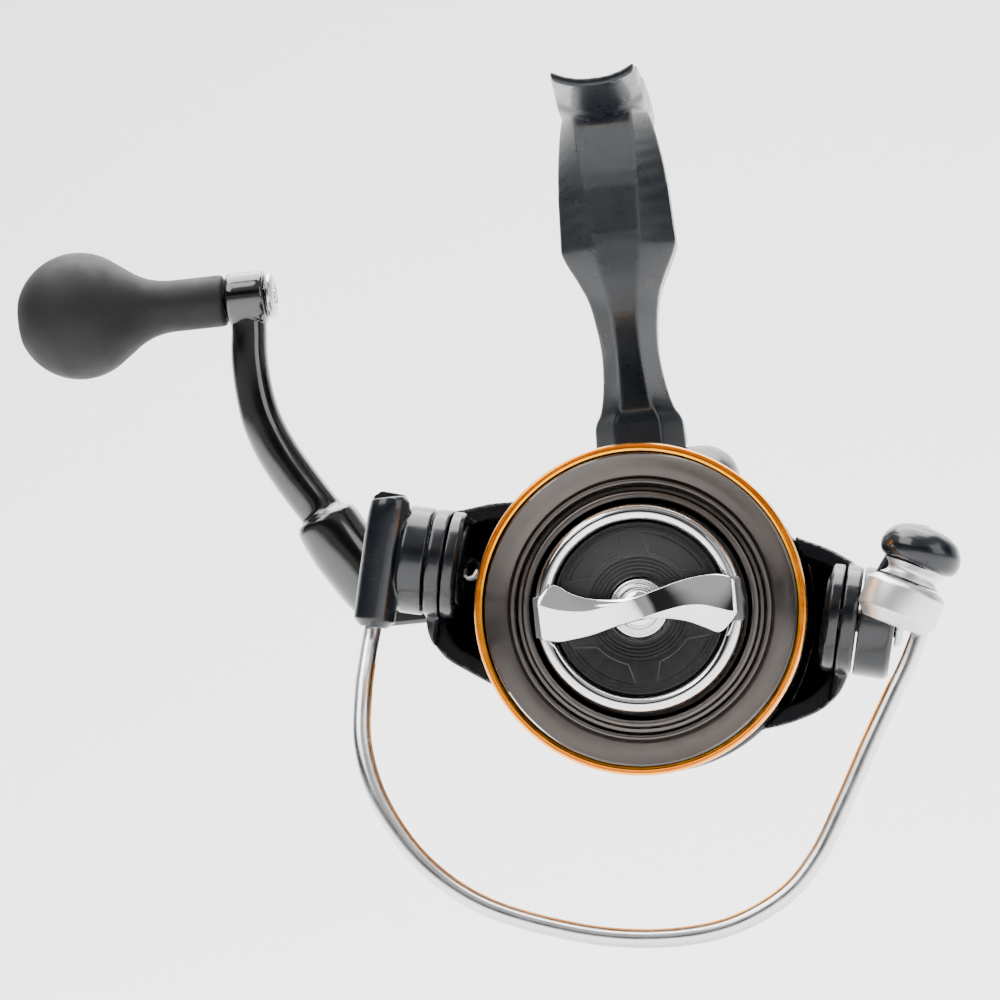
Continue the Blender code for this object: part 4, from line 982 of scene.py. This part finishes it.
# ---------------------------------------------------------------- rotor
@dataclass
class Rotor:
    """The rotor with its two arms, and the covers and screws at the bail's pivots."""

    cup_r: float = 24.0
    cup_front: float = 22.4
    cup_rear: float = -1.0
    flange_r: float = 28.4
    flange_front: float = 6.0
    reach_left: float = 38.4
    reach_right: float = 36.2
    wall: float = 2.8
    pivot_f: float = 28.0
    pivot_v: float = 3.4
    pivot_r: float = 9.4
    pin_r: float = 2.0
    skirt_room: float = 28.7
    gap: float = 0.3
    voxel: float = 0.32

    def reach(self, side: str) -> float:
        """How far out an arm's outer face stands."""
        return self.reach_left if side == "left" else self.reach_right

    def pivot(self, sign: int) -> Matrix:
        """The matrix from a pivot's axis to the rotor's frame."""
        return Matrix.Translation((0, self.pivot_v, self.pivot_f)) @ along_x(sign)

    def arm(self, side: str, sign: int) -> bpy.types.Mesh:
        """One arm: a deep cup open to the front, with a disc round the pivot.

        Args:
            side: left or right.
            sign: -1 for left, 1 for right.

        Returns:
            The mesh, in the rotor's frame.
        """
        reach = self.reach(side)
        outer = [(19.0, 17.8), (30.0, 15.3), (34.0, 13.6), (reach - 0.8, 12.2), (reach, 10.0), (reach, -5.0),
                 (reach - 1.2, -9.5), (reach - 4.2, -13.0), (27.0, -15.9), (19.0, -18.9)]
        inner = [(19.0, -15.9), (26.2, -13.1), (reach - 6.0, -10.6), (reach - 3.9, -7.9),
                 (reach - self.wall, -4.0),
                 (reach - self.wall, 9.6), (33.0, 11.0), (29.5, 12.5), (19.0, 14.8)]
        wall_in = reach - self.wall
        flank = [(17.0, self.cup_rear), (27.6, self.cup_rear), (31.0, 0.4), (34.5, 4.0), (reach - 0.8, 9.0),
                 (reach + 1.0, 14.0), (reach + 1.0, self.pivot_f), (wall_in, self.pivot_f),
                 (wall_in, self.pivot_f - 3.0),
                 (17.0, 15.0)]
        floor = [(17.0, 2.0), (26.6, 2.0), (28.4, 2.6), (reach - 5.4, 5.0), (reach - 3.2, 7.6),
                 (reach - 2.6, 8.4),
                 (reach + 1.0, 14.5), (reach + 1.0, 41.0), (17.0, 41.0)]
        swing = Matrix.Rotation(math.radians(90), 4, "X")
        mesh = slab([(sign * u, v) for u, v in eased(outer, 2.2, 4)], self.cup_rear + 0.35, 40.0)
        hollow = slab([(sign * u, v) for u, v in eased(inner, 1.6, 4)], 0.0, 42.0)
        side_cut = moved(slab([(sign * u, f) for u, f in eased(flank, 3.0, 4, closed=True)], -30, 30), swing)
        floor_cut = moved(slab([(sign * u, f) for u, f in eased(floor, 1.5, 4, closed=True)], -29, 29), swing)
        mesh = boolean(mesh, side_cut, "INTERSECT")
        mesh = boolean(mesh, boolean(hollow, floor_cut, "INTERSECT"), "DIFFERENCE")
        mesh = boolean(mesh, turned([(0, self.flange_front), (self.skirt_room, self.flange_front),
                                     (self.skirt_room, 60), (0, 60)], 120), "DIFFERENCE")
        mesh = boolean(mesh, turned([(0, -3), (self.cup_r - 0.8, -3), (self.cup_r - 0.8, 60), (0, 60)], 120),
                       "DIFFERENCE")
        disc = moved(turned([(0, wall_in - 0.01), (self.pivot_r, wall_in - 0.01),
                             (self.pivot_r, reach - 0.35),
                             (self.pivot_r - 0.35, reach + 0.01), (0, reach + 0.01)], 97), self.pivot(sign))
        return boolean(mesh, disc, "UNION")

    def shell(self) -> bpy.types.Mesh:
        """The cup, flange and both arms melted into one moulding."""
        cup = turned([(12.0, self.cup_front), (22.6, self.cup_front), (self.cup_r, 21.0),
                      (self.cup_r, self.flange_front),
                      (self.flange_r - 0.6, self.flange_front), (self.flange_r, 5.2), (self.flange_r, -0.2),
                      (self.flange_r - 1.0, self.cup_rear), (22.2, self.cup_rear), (22.2, 19.2), (14.0, 19.2),
                      (12.6, 13.0), (4.2, 13.0), (4.2, 16.0), (11.2, 16.0), (12.0, 16.8)], 128)
        cutters = []
        for side, sign in (("left", -1), ("right", 1)):
            reach = self.reach(side)
            inner = reach - self.wall - self.gap
            cutters.append(moved(turned([(0, reach - 10), (self.pin_r + 0.4, reach - 10),
                                         (self.pin_r + 0.4, reach + 4),
                                         (0, reach + 4)], 48), self.pivot(sign)))
            cutters.append(moved(turned([(0, inner - 3.2), (self.pivot_r + 0.2, inner - 3.2),
                                         (self.pivot_r + 0.2, inner + self.gap), (0, inner + self.gap)], 96),
                                 self.pivot(sign)))
        return fused([cup, self.arm("left", -1), self.arm("right", 1)], self.voxel, 3, cutters)

    def cover(self, side: str) -> bpy.types.Mesh:
        """The inner disc over a pivot, with a turned step.

        Args:
            side: left or right.

        Returns:
            The mesh, about the pivot's axis.
        """
        high = self.reach(side) - self.wall - self.gap
        low = high - 2.8
        return turned(eased([(0.0, low), (6.8, low), (7.2, low + 0.5), (8.7, low + 0.5), (9.3, low + 1.0),
                             (9.3, high),
                             (2.4, high), (2.4, high - 1.0), (0.0, high - 1.0)], 0.3, 3), 96)

    def screw(self, side: str) -> bpy.types.Mesh:
        """The shouldered screw on which the bail turns.

        Args:
            side: left or right.

        Returns:
            The mesh, about the pivot's axis.
        """
        reach = self.reach(side)
        if side == "left":
            head = [(0.0, reach + 4.4), (self.pin_r, reach + 4.4)]
        else:
            head = [(0.0, reach + 8.2), (1.1, reach + 8.15), (1.3, reach + 7.6), (1.9, reach + 7.6),
                    (2.1, reach + 8.1),
                    (3.1, reach + 8.0), (3.6, reach + 7.4), (3.6, reach + 6.7), (self.pin_r, reach + 6.7)]
        tail = reach - self.wall - self.gap - 0.9
        return turned(eased(head + [(self.pin_r, tail), (0.0, tail)], 0.2, 2), 64)

    def build(self) -> None:
        """Adds the rotor's pieces."""
        add_piece("rotor_moulding", self.shell(), ROTOR, ROTOR_BLACK, "rotor", ["rotor"],
                  sharp=180)
        for side, sign in (("left", -1), ("right", 1)):
            place = ROTOR @ self.pivot(sign)
            add_piece(f"pivot_cover_{side}", self.cover(side), place, ROTOR_BLACK, "rotor",
                      [f"arm_cover_{side}"])
            add_piece(f"pivot_screw_{side}", self.screw(side), place, STEEL, "rotor",
                      [f"bail_pivot_screw_{side}"])


# ---------------------------------------------------------------- bail
@dataclass
class Bail:
    """The bail: arm, holder, wire with its cone end, line roller and screw."""

    rotor: Rotor
    wire_r: float = 1.5
    # The radius of the thin gold tube that paints a reflection on the wire.
    reflection_r: float = 0.3
    screw_hole: float = 1.9

    def arm(self) -> bpy.types.Mesh:
        """The arm that carries the line roller: a stepped disc, a strut and a domed head."""
        r = self.rotor
        right = r.reach_right
        disc = moved(turned([(0.0, right + 0.3), (9.2, right + 0.3), (r.pivot_r, right + 0.5),
                             (r.pivot_r, right + 5.7),
                             (8.8, right + 6.4), (0.0, right + 6.4)], 128), r.pivot(1))
        strut = swept(smooth_path([(39.6, 7.5, 32.0, 3.0), (42.6, 14.6, 36.2, 3.1), (44.7, 17.5, 41.5, 3.0),
                                   (44.8, 17.6, 44.8, 2.5)], 6), 40)
        to_rotor = ROTOR.inverted() @ STACK
        head = moved(turned(eased([(0.0, 13.0), (3.4, 12.7), (5.6, 11.6), (6.7, 9.9), (7.0, 8.6), (6.7, 7.2),
                                   (5.8, 6.3), (0.0, 6.3)], 1.2, 4), 128), to_rotor)
        pivot_hole = moved(turned([(0, right - 2), (2.35, right - 2), (2.35, right + 9), (0, right + 9)],
                                  48), r.pivot(1))
        screw_hole = moved(turned([(0, 5), (self.screw_hole, 5), (self.screw_hole, 9.6), (0, 9.6)], 48),
                           to_rotor)
        return fused([disc, strut, head], 0.2, 4, [pivot_hole, screw_hole])

    def holder(self) -> bpy.types.Mesh:
        """The holder of the wire's other end: a disc with a post across it."""
        r = self.rotor
        left = r.reach_left
        disc = moved(turned([(0.0, left + 0.3), (9.2, left + 0.3), (r.pivot_r, left + 0.5),
                             (r.pivot_r, left + 4.3),
                             (9.0, left + 4.7), (0.0, left + 4.7)], 128), r.pivot(-1))
        post = swept(smooth_path([(-46.1, 13.2, 33.0, 3.2), (-46.2, 9.0, 33.0, 3.7),
                                  (-46.2, -8.0, 33.0, 3.6)], 5),
                     40, cap=2)
        slant = moved(box((-60, 0, 0), (60, 12, 60)), Matrix.Translation((-46.1, 13.4, 33)) @
                      Matrix.Rotation(math.radians(14), 4, "Z"))
        post = boolean(post, slant, "DIFFERENCE")
        hole = moved(turned([(0, left - 2), (2.35, left - 2), (2.35, left + 9), (0, left + 9)], 48),
                     r.pivot(-1))
        return fused([disc, post], 0.2, 3, [hole])

    def route(self) -> list[tuple[float, ...]]:
        """The wire's centre line in the rotor's frame."""
        stations = [(-46.2, -8.6, 33.0), (-46.2, -10.6, 33.4), (-46.0, -14.4, 36.0), (-45.3, -21.0, 40.5),
                    (-43.4, -30.0, 44.5), (-38.4, -39.0, 47.8), (-29.8, -47.4, 50.0), (-18.4, -52.8, 51.2),
                    (-3.0, -54.8, 51.6), (10.0, -54.0, 51.4), (21.5, -50.6, 50.8), (30.2, -44.3, 50.0),
                    (35.0, -36.8, 49.0), (38.3, -27.0, 48.0), (41.0, -17.5, 47.0), (43.6, -9.0, 46.0),
                    (45.6, -2.8, 45.4), (46.9, 2.6, 45.1)]
        return smooth_path(stations, 8)

    def cone(self) -> list[Point2]:
        """The wide turned end of the wire, under the line roller."""
        return [(self.screw_hole, 3.1), (5.2, 3.1), (6.1, 2.75), (6.85, 1.9), (6.85, -2.5), (6.6, -2.85),
                (6.1, -3.4),
                (5.3, -4.4), (2.6, -4.4), (2.6, -2.4), (self.screw_hole, -2.4)]

    def build(self) -> None:
        """Adds the bail's pieces."""
        route = self.route()
        add_piece("bail_arm_casting", self.arm(), ROTOR, ROTOR_BLACK, "bail", ["bail_arm"],
                  sharp=180)
        add_piece("bail_holder_casting", self.holder(), ROTOR, ROTOR_BLACK, "bail",
                  ["bail_holder"],
                  sharp=180)
        wire = swept([(*p, self.wire_r) for p in route], 32, cap=0)
        add_piece("bail_wire_bar", wire, ROTOR, WIRE, "bail", ["bail_wire"], sharp=60)
        add_piece("bail_wire_cone", turned(eased(self.cone(), 0.25, 3, closed=True), 128), STACK, BRIGHT,
                  "bail")
        # Painted reflection: a thin gold tube along the wire's inner side stands in for a gold reflection seen
        # there.
        centre = Vector((0.0, -5.0, 44.0))
        reflection_line = []
        for x, y, z in route[18:-12]:
            inward = (centre - Vector((x, y, z))).normalized()
            p = Vector((x, y, z)) + inward * (self.wire_r - 0.12)
            reflection_line.append((p.x, p.y, p.z, self.reflection_r))
        add_piece("bail_wire_painted_reflection", swept(reflection_line, 10, cap=0), ROTOR, GOLD, "bail")
        roller = [(5.2, 6.0), (5.0, 5.75), (4.5, 5.35), (4.25, 4.9), (4.2, 4.6), (4.3, 4.25), (4.6, 3.85),
                  (5.2, 3.45),
                  (3.4, 3.4), (3.4, 6.0)]
        add_piece("line_roller_ring", turned(roller, 96), STACK, BRIGHT, "line_roller",
                  ["line_roller"])
        screw = [(0.0, 9.2), (1.6, 9.2), (1.6, -2.7), (2.3, -2.7), (2.3, -4.1), (1.9, -4.45), (0.9, -4.45),
                 (0.7, -3.8),
                 (0.0, -3.8)]
        add_piece("roller_screw_turned", turned(eased(screw, 0.12, 2), 64), STACK, STEEL, "bail",
                  ["roller_screw"])


# ---------------------------------------------------------------- body
@dataclass
class Body:
    """The housing with its stem and foot, and the side cover."""

    front: float = 2.0
    split: float = 5.5
    half: float = 17.3
    wall: float = 2.2
    gap: float = 0.3
    nose_r: float = 11.6
    boss_r: float = 8.0
    foot_length: float = 66.0
    foot_half: float = 7.7
    saddle_r: float = 14.6
    corner_cuts: int = 3

    def outline(self, inset: float) -> list[Point2]:
        """The side outline, its corners cut three times.

        Args:
            inset: how far it is pulled in.

        Returns:
            (y, rise above the spool axis) points.
        """
        front = [(self.front, -22.0), (self.front, 20.0)]
        corners = [(3.4, 26.4), (9.0, 30.4), (17.0, 31.2), (26.0, 29.4), (35.0, 24.6), (43.5, 17.5),
                   (50.0, 7.0), (50.8, -4.0),
                   (46.6, -13.0), (38.0, -19.0), (26.0, -22.4), (13.0, -23.6)]
        loop: list[Point2] = front + corners
        keep = set(front)
        for _ in range(self.corner_cuts):
            cut: list[Point2] = []
            for i, p in enumerate(loop):
                if p in keep:
                    cut.append(p)
                    continue
                for q in (loop[i - 1], loop[(i + 1) % len(loop)]):
                    cut.append((0.75 * p[0] + 0.25 * q[0], 0.75 * p[1] + 0.25 * q[1]))
            loop = cut
        return pulled_in(loop, inset)

    def half_shell(self, sign: int, start: float, extra: float = 0.0, close: float = 6.4) -> bpy.types.Mesh:
        """One rounded half of the body.

        Args:
            sign: 1 for the +X side, -1 for the -X side.
            start: where the half starts, in X.
            extra: how far everything is pulled in.
            close: the inset of the outermost loop.

        Returns:
            The mesh.
        """
        stations = [(start, 0.0), (sign * 8.0, 0.0), (sign * 10.5, 0.0)]
        for k in range(1, 13):
            a = math.pi / 2 * k / 12
            stations.append((sign * (10.5 + (self.half - extra - 10.5) * math.sin(a)),
                             close * (1 - math.cos(a))))
        sections = []
        for x, inset in stations:
            sections.append([(x, y, rise - SPOOL_DROP) for y, rise in self.outline(inset + extra)])
        return skin(sections)

    def stem(self) -> bpy.types.Mesh:
        """The faceted stem, its sections smoothly joined."""
        levels = [(29.5, 8.3, 2.4, 23.0, 0.5), (35.4, 8.1, 2.4, 21.0, 0.5), (38.0, 6.8, 2.4, 17.5, 0.45),
                  (42.0, 5.8, 0.8, 14.0, 0.4), (48.0, 5.2, -2.6, 11.0, 0.4), (53.0, 5.6, -5.0, 9.5, 0.4),
                  (57.5, 6.4, -6.6, 9.0, 0.4), (61.0, 7.8, -7.6, 9.2, 0.4), (66.0, 10.2, -8.4, 9.8, 0.4),
                  (69.0, 10.4, -8.8, 10.2, 0.4), (80.0, 9.8, -10.0, 12.0, 0.5), (88.0, 8.6, -13.0, 15.0, 0.6),
                  (91.2, 7.6, -17.0, 19.0, 0.7)]
        sections = []
        for rise, half, front, rear, share in smooth_path(levels, 4):
            z = rise - SPOOL_DROP
            face = half * share
            depth = (rear - front) * 0.3
            sections.append([(-face, front, z), (face, front, z), (half, front + depth, z),
                             (half, rear - depth, z),
                             (face, rear, z), (-face, rear, z), (-half, rear - depth, z),
                             (-half, front + depth, z)])
        return skin(sections)

    def foot(self) -> bpy.types.Mesh:
        """The saddle foot, thin at both tips."""
        end = self.foot_length / 2
        stations = [(-end, 1.5, 0.95), (-27.0, 2.1, 1.0), (-19.0, 3.0, 1.03), (-12.0, 4.4, 1.05),
                    (12.0, 4.4, 1.05),
                    (19.0, 3.0, 1.03), (27.0, 2.1, 1.0), (end, 1.5, 0.95)]
        count = 24
        level = self.saddle_r - math.sqrt(self.saddle_r ** 2 - (self.foot_half / 7) ** 2)
        sections = []
        for y, thick, width in smooth_path(stations, 6):
            top, under = [], []
            for k in range(count + 1):
                x = self.foot_half * width * (2 * k / count - 1)
                rise = max(0.0, self.saddle_r - math.sqrt(self.saddle_r ** 2 - x * x) - level)
                top.append((x, y, rise))
                under.append((x * 0.96, y, rise * 0.9 - thick))
            sections.append(top + under[::-1])
        return skin(sections)

    def housing(self) -> bpy.types.Mesh:
        """The left shell with nose, crank boss, stem and foot melted together."""
        nose = Matrix.Translation((0, 0, -SPOOL_DROP)) @ Matrix.Rotation(math.radians(90), 4, "X")
        boss = moved(turned(eased([(5.5, 12.0), (self.boss_r, 12.0), (self.boss_r, 20.2), (7.2, 21.0),
                                   (5.5, 21.0)], 0.3),
                            96), DRIVE)
        throat = moved(turned([(7.9, -3.0), (self.nose_r, -3.0), (self.nose_r, 10.9), (11.1, 11.4),
                               (7.9, 11.4)], 96), nose)
        half = self.half_shell(-1, self.split)
        hole = moved(turned([(0, 10), (5.5, 10), (5.5, 25), (0, 25)], 64), DRIVE)
        bore = moved(turned([(0, -12), (7.9, -12), (7.9, 13), (0, 13)], 64), nose)
        room = self.half_shell(-1, self.split + 1.0, self.wall)
        half = boolean(boolean(boolean(half, room, "DIFFERENCE"), hole, "DIFFERENCE"), bore, "DIFFERENCE")
        line = self.half_shell(1, self.split - 0.5, -self.gap, 0.0)
        stem = boolean(self.stem(), line, "DIFFERENCE")
        return fused([half, stem, self.foot(), boss, throat], 0.4, 3)

    def cover(self) -> bpy.types.Mesh:
        """The right shell with its boss and screw holes."""
        boss = moved(turned(eased([(5.5, 13.0), (self.boss_r - 0.6, 13.0), (self.boss_r - 0.6, 18.6),
                                   (6.9, 19.2),
                                   (5.5, 19.2)], 0.3), 96), DRIVE @ Matrix.Rotation(math.pi, 4, "Y"))
        half = self.half_shell(1, self.split + self.gap)
        nose = Matrix.Translation((0, 0, -SPOOL_DROP)) @ Matrix.Rotation(math.radians(90), 4, "X")
        room = moved(turned([(0, -4.3), (self.nose_r + self.gap, -4.3), (self.nose_r + self.gap, 2), (0, 2)],
                            96), nose)
        half = boolean(half, room, "DIFFERENCE")
        half = boolean(half, self.half_shell(1, self.split - 1.0, self.wall), "DIFFERENCE")
        hole = moved(turned([(0, 10), (5.5, 10), (5.5, 25), (0, 25)], 64),
                     DRIVE @ Matrix.Rotation(math.pi, 4, "Y"))
        half = boolean(half, hole, "DIFFERENCE")
        for number in (1, 2, 3):
            low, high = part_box(f"cover_screw_{number}")
            middle = (low + high) / 2 / MM
            sink = moved(turned([(0, 13.2), (2.3, 13.2), (2.3, 30), (0, 30)], 48),
                         Matrix.Translation((0, middle.y, middle.z)) @ along_x(1))
            half = boolean(half, sink, "DIFFERENCE")
        return fused([half, boss], 0.4, 3)

    def build(self) -> None:
        """Adds the housing and the side cover."""
        add_piece("housing_stem_and_foot", self.housing(), IDENTITY, BODY_BLACK, "body",
                  ["body_housing"], sharp=180)
        add_piece("side_cover_shell", self.cover(), IDENTITY, BODY_BLACK, "body",
                  ["side_cover"],
                  sharp=180)


def pulled_in(points: Sequence[Point2], inset: float) -> list[Point2]:
    """A convex clockwise loop with each side moved inwards.

    Args:
        points: the loop.
        inset: how far.

    Returns:
        The new loop.
    """
    sides = []
    for a, b in zip(points, list(points[1:]) + [points[0]]):
        run = Vector((b[0] - a[0], b[1] - a[1])).normalized()
        sides.append((Vector(a) + Vector((run.y, -run.x)) * inset, run))
    found = []
    for (a, run), (b, turn) in zip(sides[-1:] + sides[:-1], sides):
        cross = run.x * turn.y - run.y * turn.x
        along = ((b.x - a.x) * turn.y - (b.y - a.y) * turn.x) / cross
        found.append(tuple(a + run * along))
    return found


# ---------------------------------------------------------------- crank
@dataclass
class Crank:
    """The crank: hub, folding arm, knob and the cap on the far side."""

    tongue: float = 5.8
    eye_r: float = 5.1
    crank_r: float = 59.0
    fold_out: float = 41.0
    knob_r: float = 12.1

    def arm(self) -> bpy.types.Mesh:
        """The arm: thick root, stepped shoulder, slim bar and the eye for the knob."""
        eye_out = KNOB.translation.x
        stations = [(-51.5, 9.7, 5.0), (-53.0, 10.6, 5.9), (-55.6, 14.6, 6.2), (-58.4, 19.2, 6.3),
                    (-60.6, 23.4, 6.1),
                    (-61.3, 24.8, 5.7), (-61.6, 25.5, 4.6), (-62.2, 26.6, 4.1), (-65.4, 31.6, 4.1),
                    (-69.0, 38.0, 4.0),
                    (-71.5, 44.4, 3.8), (-72.6, 51.0, 3.6), (-72.8, 57.0, 3.5), (-72.4, 62.0, 3.4),
                    (-72.3, 66.5, 3.4)]
        local = [(z - 9.0, 0.0, -x - self.fold_out, r) for x, z, r in stations]
        bar = swept(smooth_path(local, 5), 48)
        half = self.tongue / 2
        edge = [(-5.7, 0.0), (-5.7, 11.5), (-3.5, 13.2), (6.3, 14.5), (6.3, 9.0), (5.7, 5.0), (5.7, 0.0)]
        edge += arc((0, 0), 5.7, -10, -170, 14)
        lay = Matrix(((1, 0, 0, 0), (0, 0, 1, 0), (0, 1, 0, 0), (0, 0, 0, 1)))
        tongue = moved(slab(edge, -half, half), lay)
        eye = Matrix.Translation((self.crank_r, 0, -eye_out - self.fold_out))
        boss = moved(turned(eased([(0.0, 3.8), (self.eye_r, 3.8), (self.eye_r, -3.8), (0.0, -3.8)], 1.3, 5),
                            96), eye)
        holes = [moved(turned([(0, -6), (2.35, -6), (2.35, 6), (0, 6)], 48), eye),
                 moved(turned([(0, -6), (1.9, -6), (1.9, 6), (0, 6)], 48), along_y())]
        return fused([bar, tongue, boss], 0.34, 4, holes)

    def hub(self) -> bpy.types.Mesh:
        """The hub with its fork."""
        section = eased([(0.0, 44.0), (5.2, 44.0), (6.0, 43.2), (6.0, 25.0), (6.6, 24.0), (6.6, 22.2),
                         (6.0, 21.5),
                         (2.8, 21.5), (2.8, 30.8), (0.0, 30.8)], 0.5, 3)
        mesh = turned(section, 96)
        mesh = boolean(mesh, box((-9, -3.2, 32.6), (9, 3.2, 46)), "DIFFERENCE")
        pin = moved(turned([(0, -9), (1.9, -9), (1.9, 9), (0, 9)], 48),
                    Matrix.Translation((0, 0, self.fold_out)) @ along_y())
        return bevelled(boolean(mesh, pin, "DIFFERENCE"), 0.18, 2, 40)

    def knob(self) -> list[Point2]:
        """The ball knob's section, from its bore round the ball."""
        centre = 104.6 - 72.2
        neck = [(2.3, 4.2), (4.2, 4.2), (4.75, 4.5), (4.9, 5.0)]
        neck += smooth_path([(4.9, 12.0), (4.95, 15.2), (5.5, 18.2), (6.7, 20.9), (8.3, 23.2), (9.55, 25.0)],
                            4)
        ball = [(self.knob_r * math.sin(math.radians(a)), centre - self.knob_r * math.cos(math.radians(a)))
                for a in range(56, 153, 6)]
        end = [(5.1, centre + 10.95), (3.4, centre + 11.15), (3.2, centre + 11.0), (2.9, centre + 11.0),
               (2.7, centre + 11.2), (0.0, centre + 11.2)]
        return [(0.0, 36.2), (2.3, 36.2)] + neck + ball + end

    def build(self) -> None:
        """Adds the crank's pieces."""
        add_piece("crank_arm", self.arm(), FOLD, CRANK_BLACK, "crank", ["handle_arm"],
                  sharp=180)
        add_piece("crank_hub", self.hub(), DRIVE, CRANK_BLACK, "drive", ["handle_hub"],
                  sharp=40)
        add_piece("ball_knob", turned(self.knob(), 128), KNOB, KNOB_BLACK, "knob",
                  ["handle_knob"], sharp=50)
        axle = [(0.0, 35.8), (2.0, 35.8), (2.0, -4.1), (4.2, -4.1), (4.45, -4.4), (4.2, -5.0), (3.2, -5.35),
                (2.2, -5.45),
                (2.0, -5.1), (1.2, -5.1), (1.0, -5.5), (0.0, -5.55)]
        add_piece("knob_axle_cap", turned(eased(axle, 0.1, 2), 96), KNOB, STEEL, "crank",
                  ["knob_axle"])
        cap = [(0.0, -25.2), (1.6, -25.4), (4.3, -25.4), (5.5, -24.9), (5.9, -24.2), (6.0, -20.8),
               (5.6, -20.0),
               (5.0, -19.8), (0.0, -20.2)]
        add_piece("crank_screw_cap", turned(eased(cap, 0.3, 3), 96), DRIVE, ROTOR_BLACK, "drive",
                  ["handle_screw_cap"])


# ---------------------------------------------------------------- CAD nodes that keep their shape
KEPT: dict[str, Finish] = {
    "steel": STEEL, "brass": BRASS, "felt": FELT, "dark_plastic": GREY_PLASTIC, "body_black": BODY_BLACK,
    "rotor_black": ROTOR_BLACK, "crank_black": CRANK_BLACK, "knob_black": KNOB_BLACK, "gunmetal": GUNMETAL,
    "gold_anodised": GOLD, "chrome": CHROME, "bright_aluminium": BRIGHT}


def dress_cad() -> None:
    """Gives every CAD node the finish of its material slot."""
    for part in frame["record"]["subparts"]:
        obj = frame["nodes"][part["node"]]
        obj.data.materials.clear()
        obj.data.materials.append(KEPT[part["material_slot"]].material())
        obj.data.shade_smooth()
        obj.data.set_sharp_from_angle(angle=math.radians(35))


# ---------------------------------------------------------------- studio
@dataclass
class Studio:
    """The pale sweep, the soft lights and the camera. Places here are in metres."""

    eye: Point3 = (0.0344, -0.6478, -0.1114)
    forward: Point3 = (-0.09283, 0.99359, 0.06450)
    right: Point3 = (0.99053, 0.09873, -0.09538)
    lens: float = 128.9
    floor_z: float = -0.20

    def camera(self) -> None:
        """Adds the camera."""
        cam = bpy.data.cameras.new("camera")
        cam.lens = self.lens
        cam.clip_start = 0.01
        obj = bpy.data.objects.new("camera", cam)
        bpy.context.scene.collection.objects.link(obj)
        obj.matrix_world = spread_frame(Vector(self.eye), -Vector(self.forward), Vector(self.right))
        bpy.context.scene.camera = obj

    def light(self, name: str, place: Point3, size: float, power: float, colour: Colour = (1, 1, 1)) -> None:
        """Adds a soft square light aimed at the reel.

        Args:
            name: the light's name.
            place: its centre.
            size: the length of its sides.
            power: its strength in watts.
            colour: its colour.
        """
        data = bpy.data.lights.new(name, "AREA")
        data.size = size
        data.energy = power
        data.color = colour
        obj = bpy.data.objects.new(name, data)
        bpy.context.scene.collection.objects.link(obj)
        obj.location = place
        obj.rotation_euler = (Vector((0, -0.01, -0.09)) - Vector(place)).to_track_quat("-Z", "Y").to_euler()

    def sweep(self) -> None:
        """Adds the floor, which curves up behind the reel."""
        profile = [(-2.5, self.floor_z), (0.55, self.floor_z)]
        profile += [(0.55 + 0.5 * math.sin(a), self.floor_z + 0.5 * (1 - math.cos(a)))
                    for a in [math.pi / 2 * k / 16 for k in range(1, 17)]]
        profile.append((1.05, 2.5))
        points = [(x, y, z) for y, z in profile for x in (-3.0, 3.0)]
        faces = [(2 * k, 2 * k + 1, 2 * k + 3, 2 * k + 2) for k in range(len(profile) - 1)]
        mesh = bpy.data.meshes.new("floor")
        mesh.from_pydata(points, [], faces)
        mesh.shade_smooth()
        obj = bpy.data.objects.new("floor", mesh)
        bpy.context.scene.collection.objects.link(obj)
        mat = bpy.data.materials.new("pale_floor")
        mat.use_nodes = True
        shader = mat.node_tree.nodes["Principled BSDF"]
        shader.inputs["Base Color"].default_value = (0.92, 0.92, 0.92, 1)
        shader.inputs["Roughness"].default_value = 0.9
        mesh.materials.append(mat)

    def world(self) -> None:
        """Makes the world a soft room, with light strips and dark bands between them."""
        world = bpy.data.worlds.new("studio")
        bpy.context.scene.world = world
        world.use_nodes = True
        tree = world.node_tree
        back = tree.nodes["Background"]
        place = tree.nodes.new("ShaderNodeTexCoord").outputs["Generated"]
        split = tree.nodes.new("ShaderNodeSeparateXYZ")
        tree.links.new(place, split.inputs[0])
        ramp = tree.nodes.new("ShaderNodeValToRGB")
        bands = ramp.color_ramp
        bands.elements[0].position, bands.elements[0].color = 0.0, (0.5, 0.5, 0.5, 1)
        bands.elements[1].position, bands.elements[1].color = 1.0, (0.7, 0.7, 0.7, 1)
        for height, level in ((0.28, 0.55), (0.36, 0.03), (0.44, 0.03), (0.475, 0.75), (0.56, 0.9),
                              (0.60, 0.04),
                              (0.70, 0.05), (0.76, 1.0), (0.90, 1.0)):
            bands.elements.new(height).color = (level, level * 0.985, level * 0.965, 1)
        lift = math_node(tree, "MULTIPLY_ADD", split.outputs["Z"], 0.5, 0.5)
        tree.links.new(lift, ramp.inputs[0])
        tree.links.new(ramp.outputs[0], back.inputs["Color"])
        back.inputs["Strength"].default_value = 0.55

    def build(self) -> None:
        """Adds everything that isn't the reel."""
        self.camera()
        self.sweep()
        self.world()
        self.light("key", (-0.5, -0.55, 0.75), 0.7, 9.0)
        self.light("fill", (0.8, -0.5, 0.25), 0.6, 3.5)
        self.light("back", (0.1, 0.7, 0.7), 0.9, 6.0)
        self.light("floor_wash", (0.0, 0.45, 1.5), 2.0, 130.0)


def main() -> None:
    """Builds the studio and every sub-assembly."""
    logging.basicConfig(level=logging.INFO, format="%(name)s: %(message)s")
    Studio().build()
    dress_cad()
    rotor = Rotor()
    for assembly in (Spool(), DragKnob(), rotor, Bail(rotor), Body(), Crank()):
        assembly.build()
        LOG.info("built %s", type(assembly).__name__)


if __name__ == "__main__":
    main()
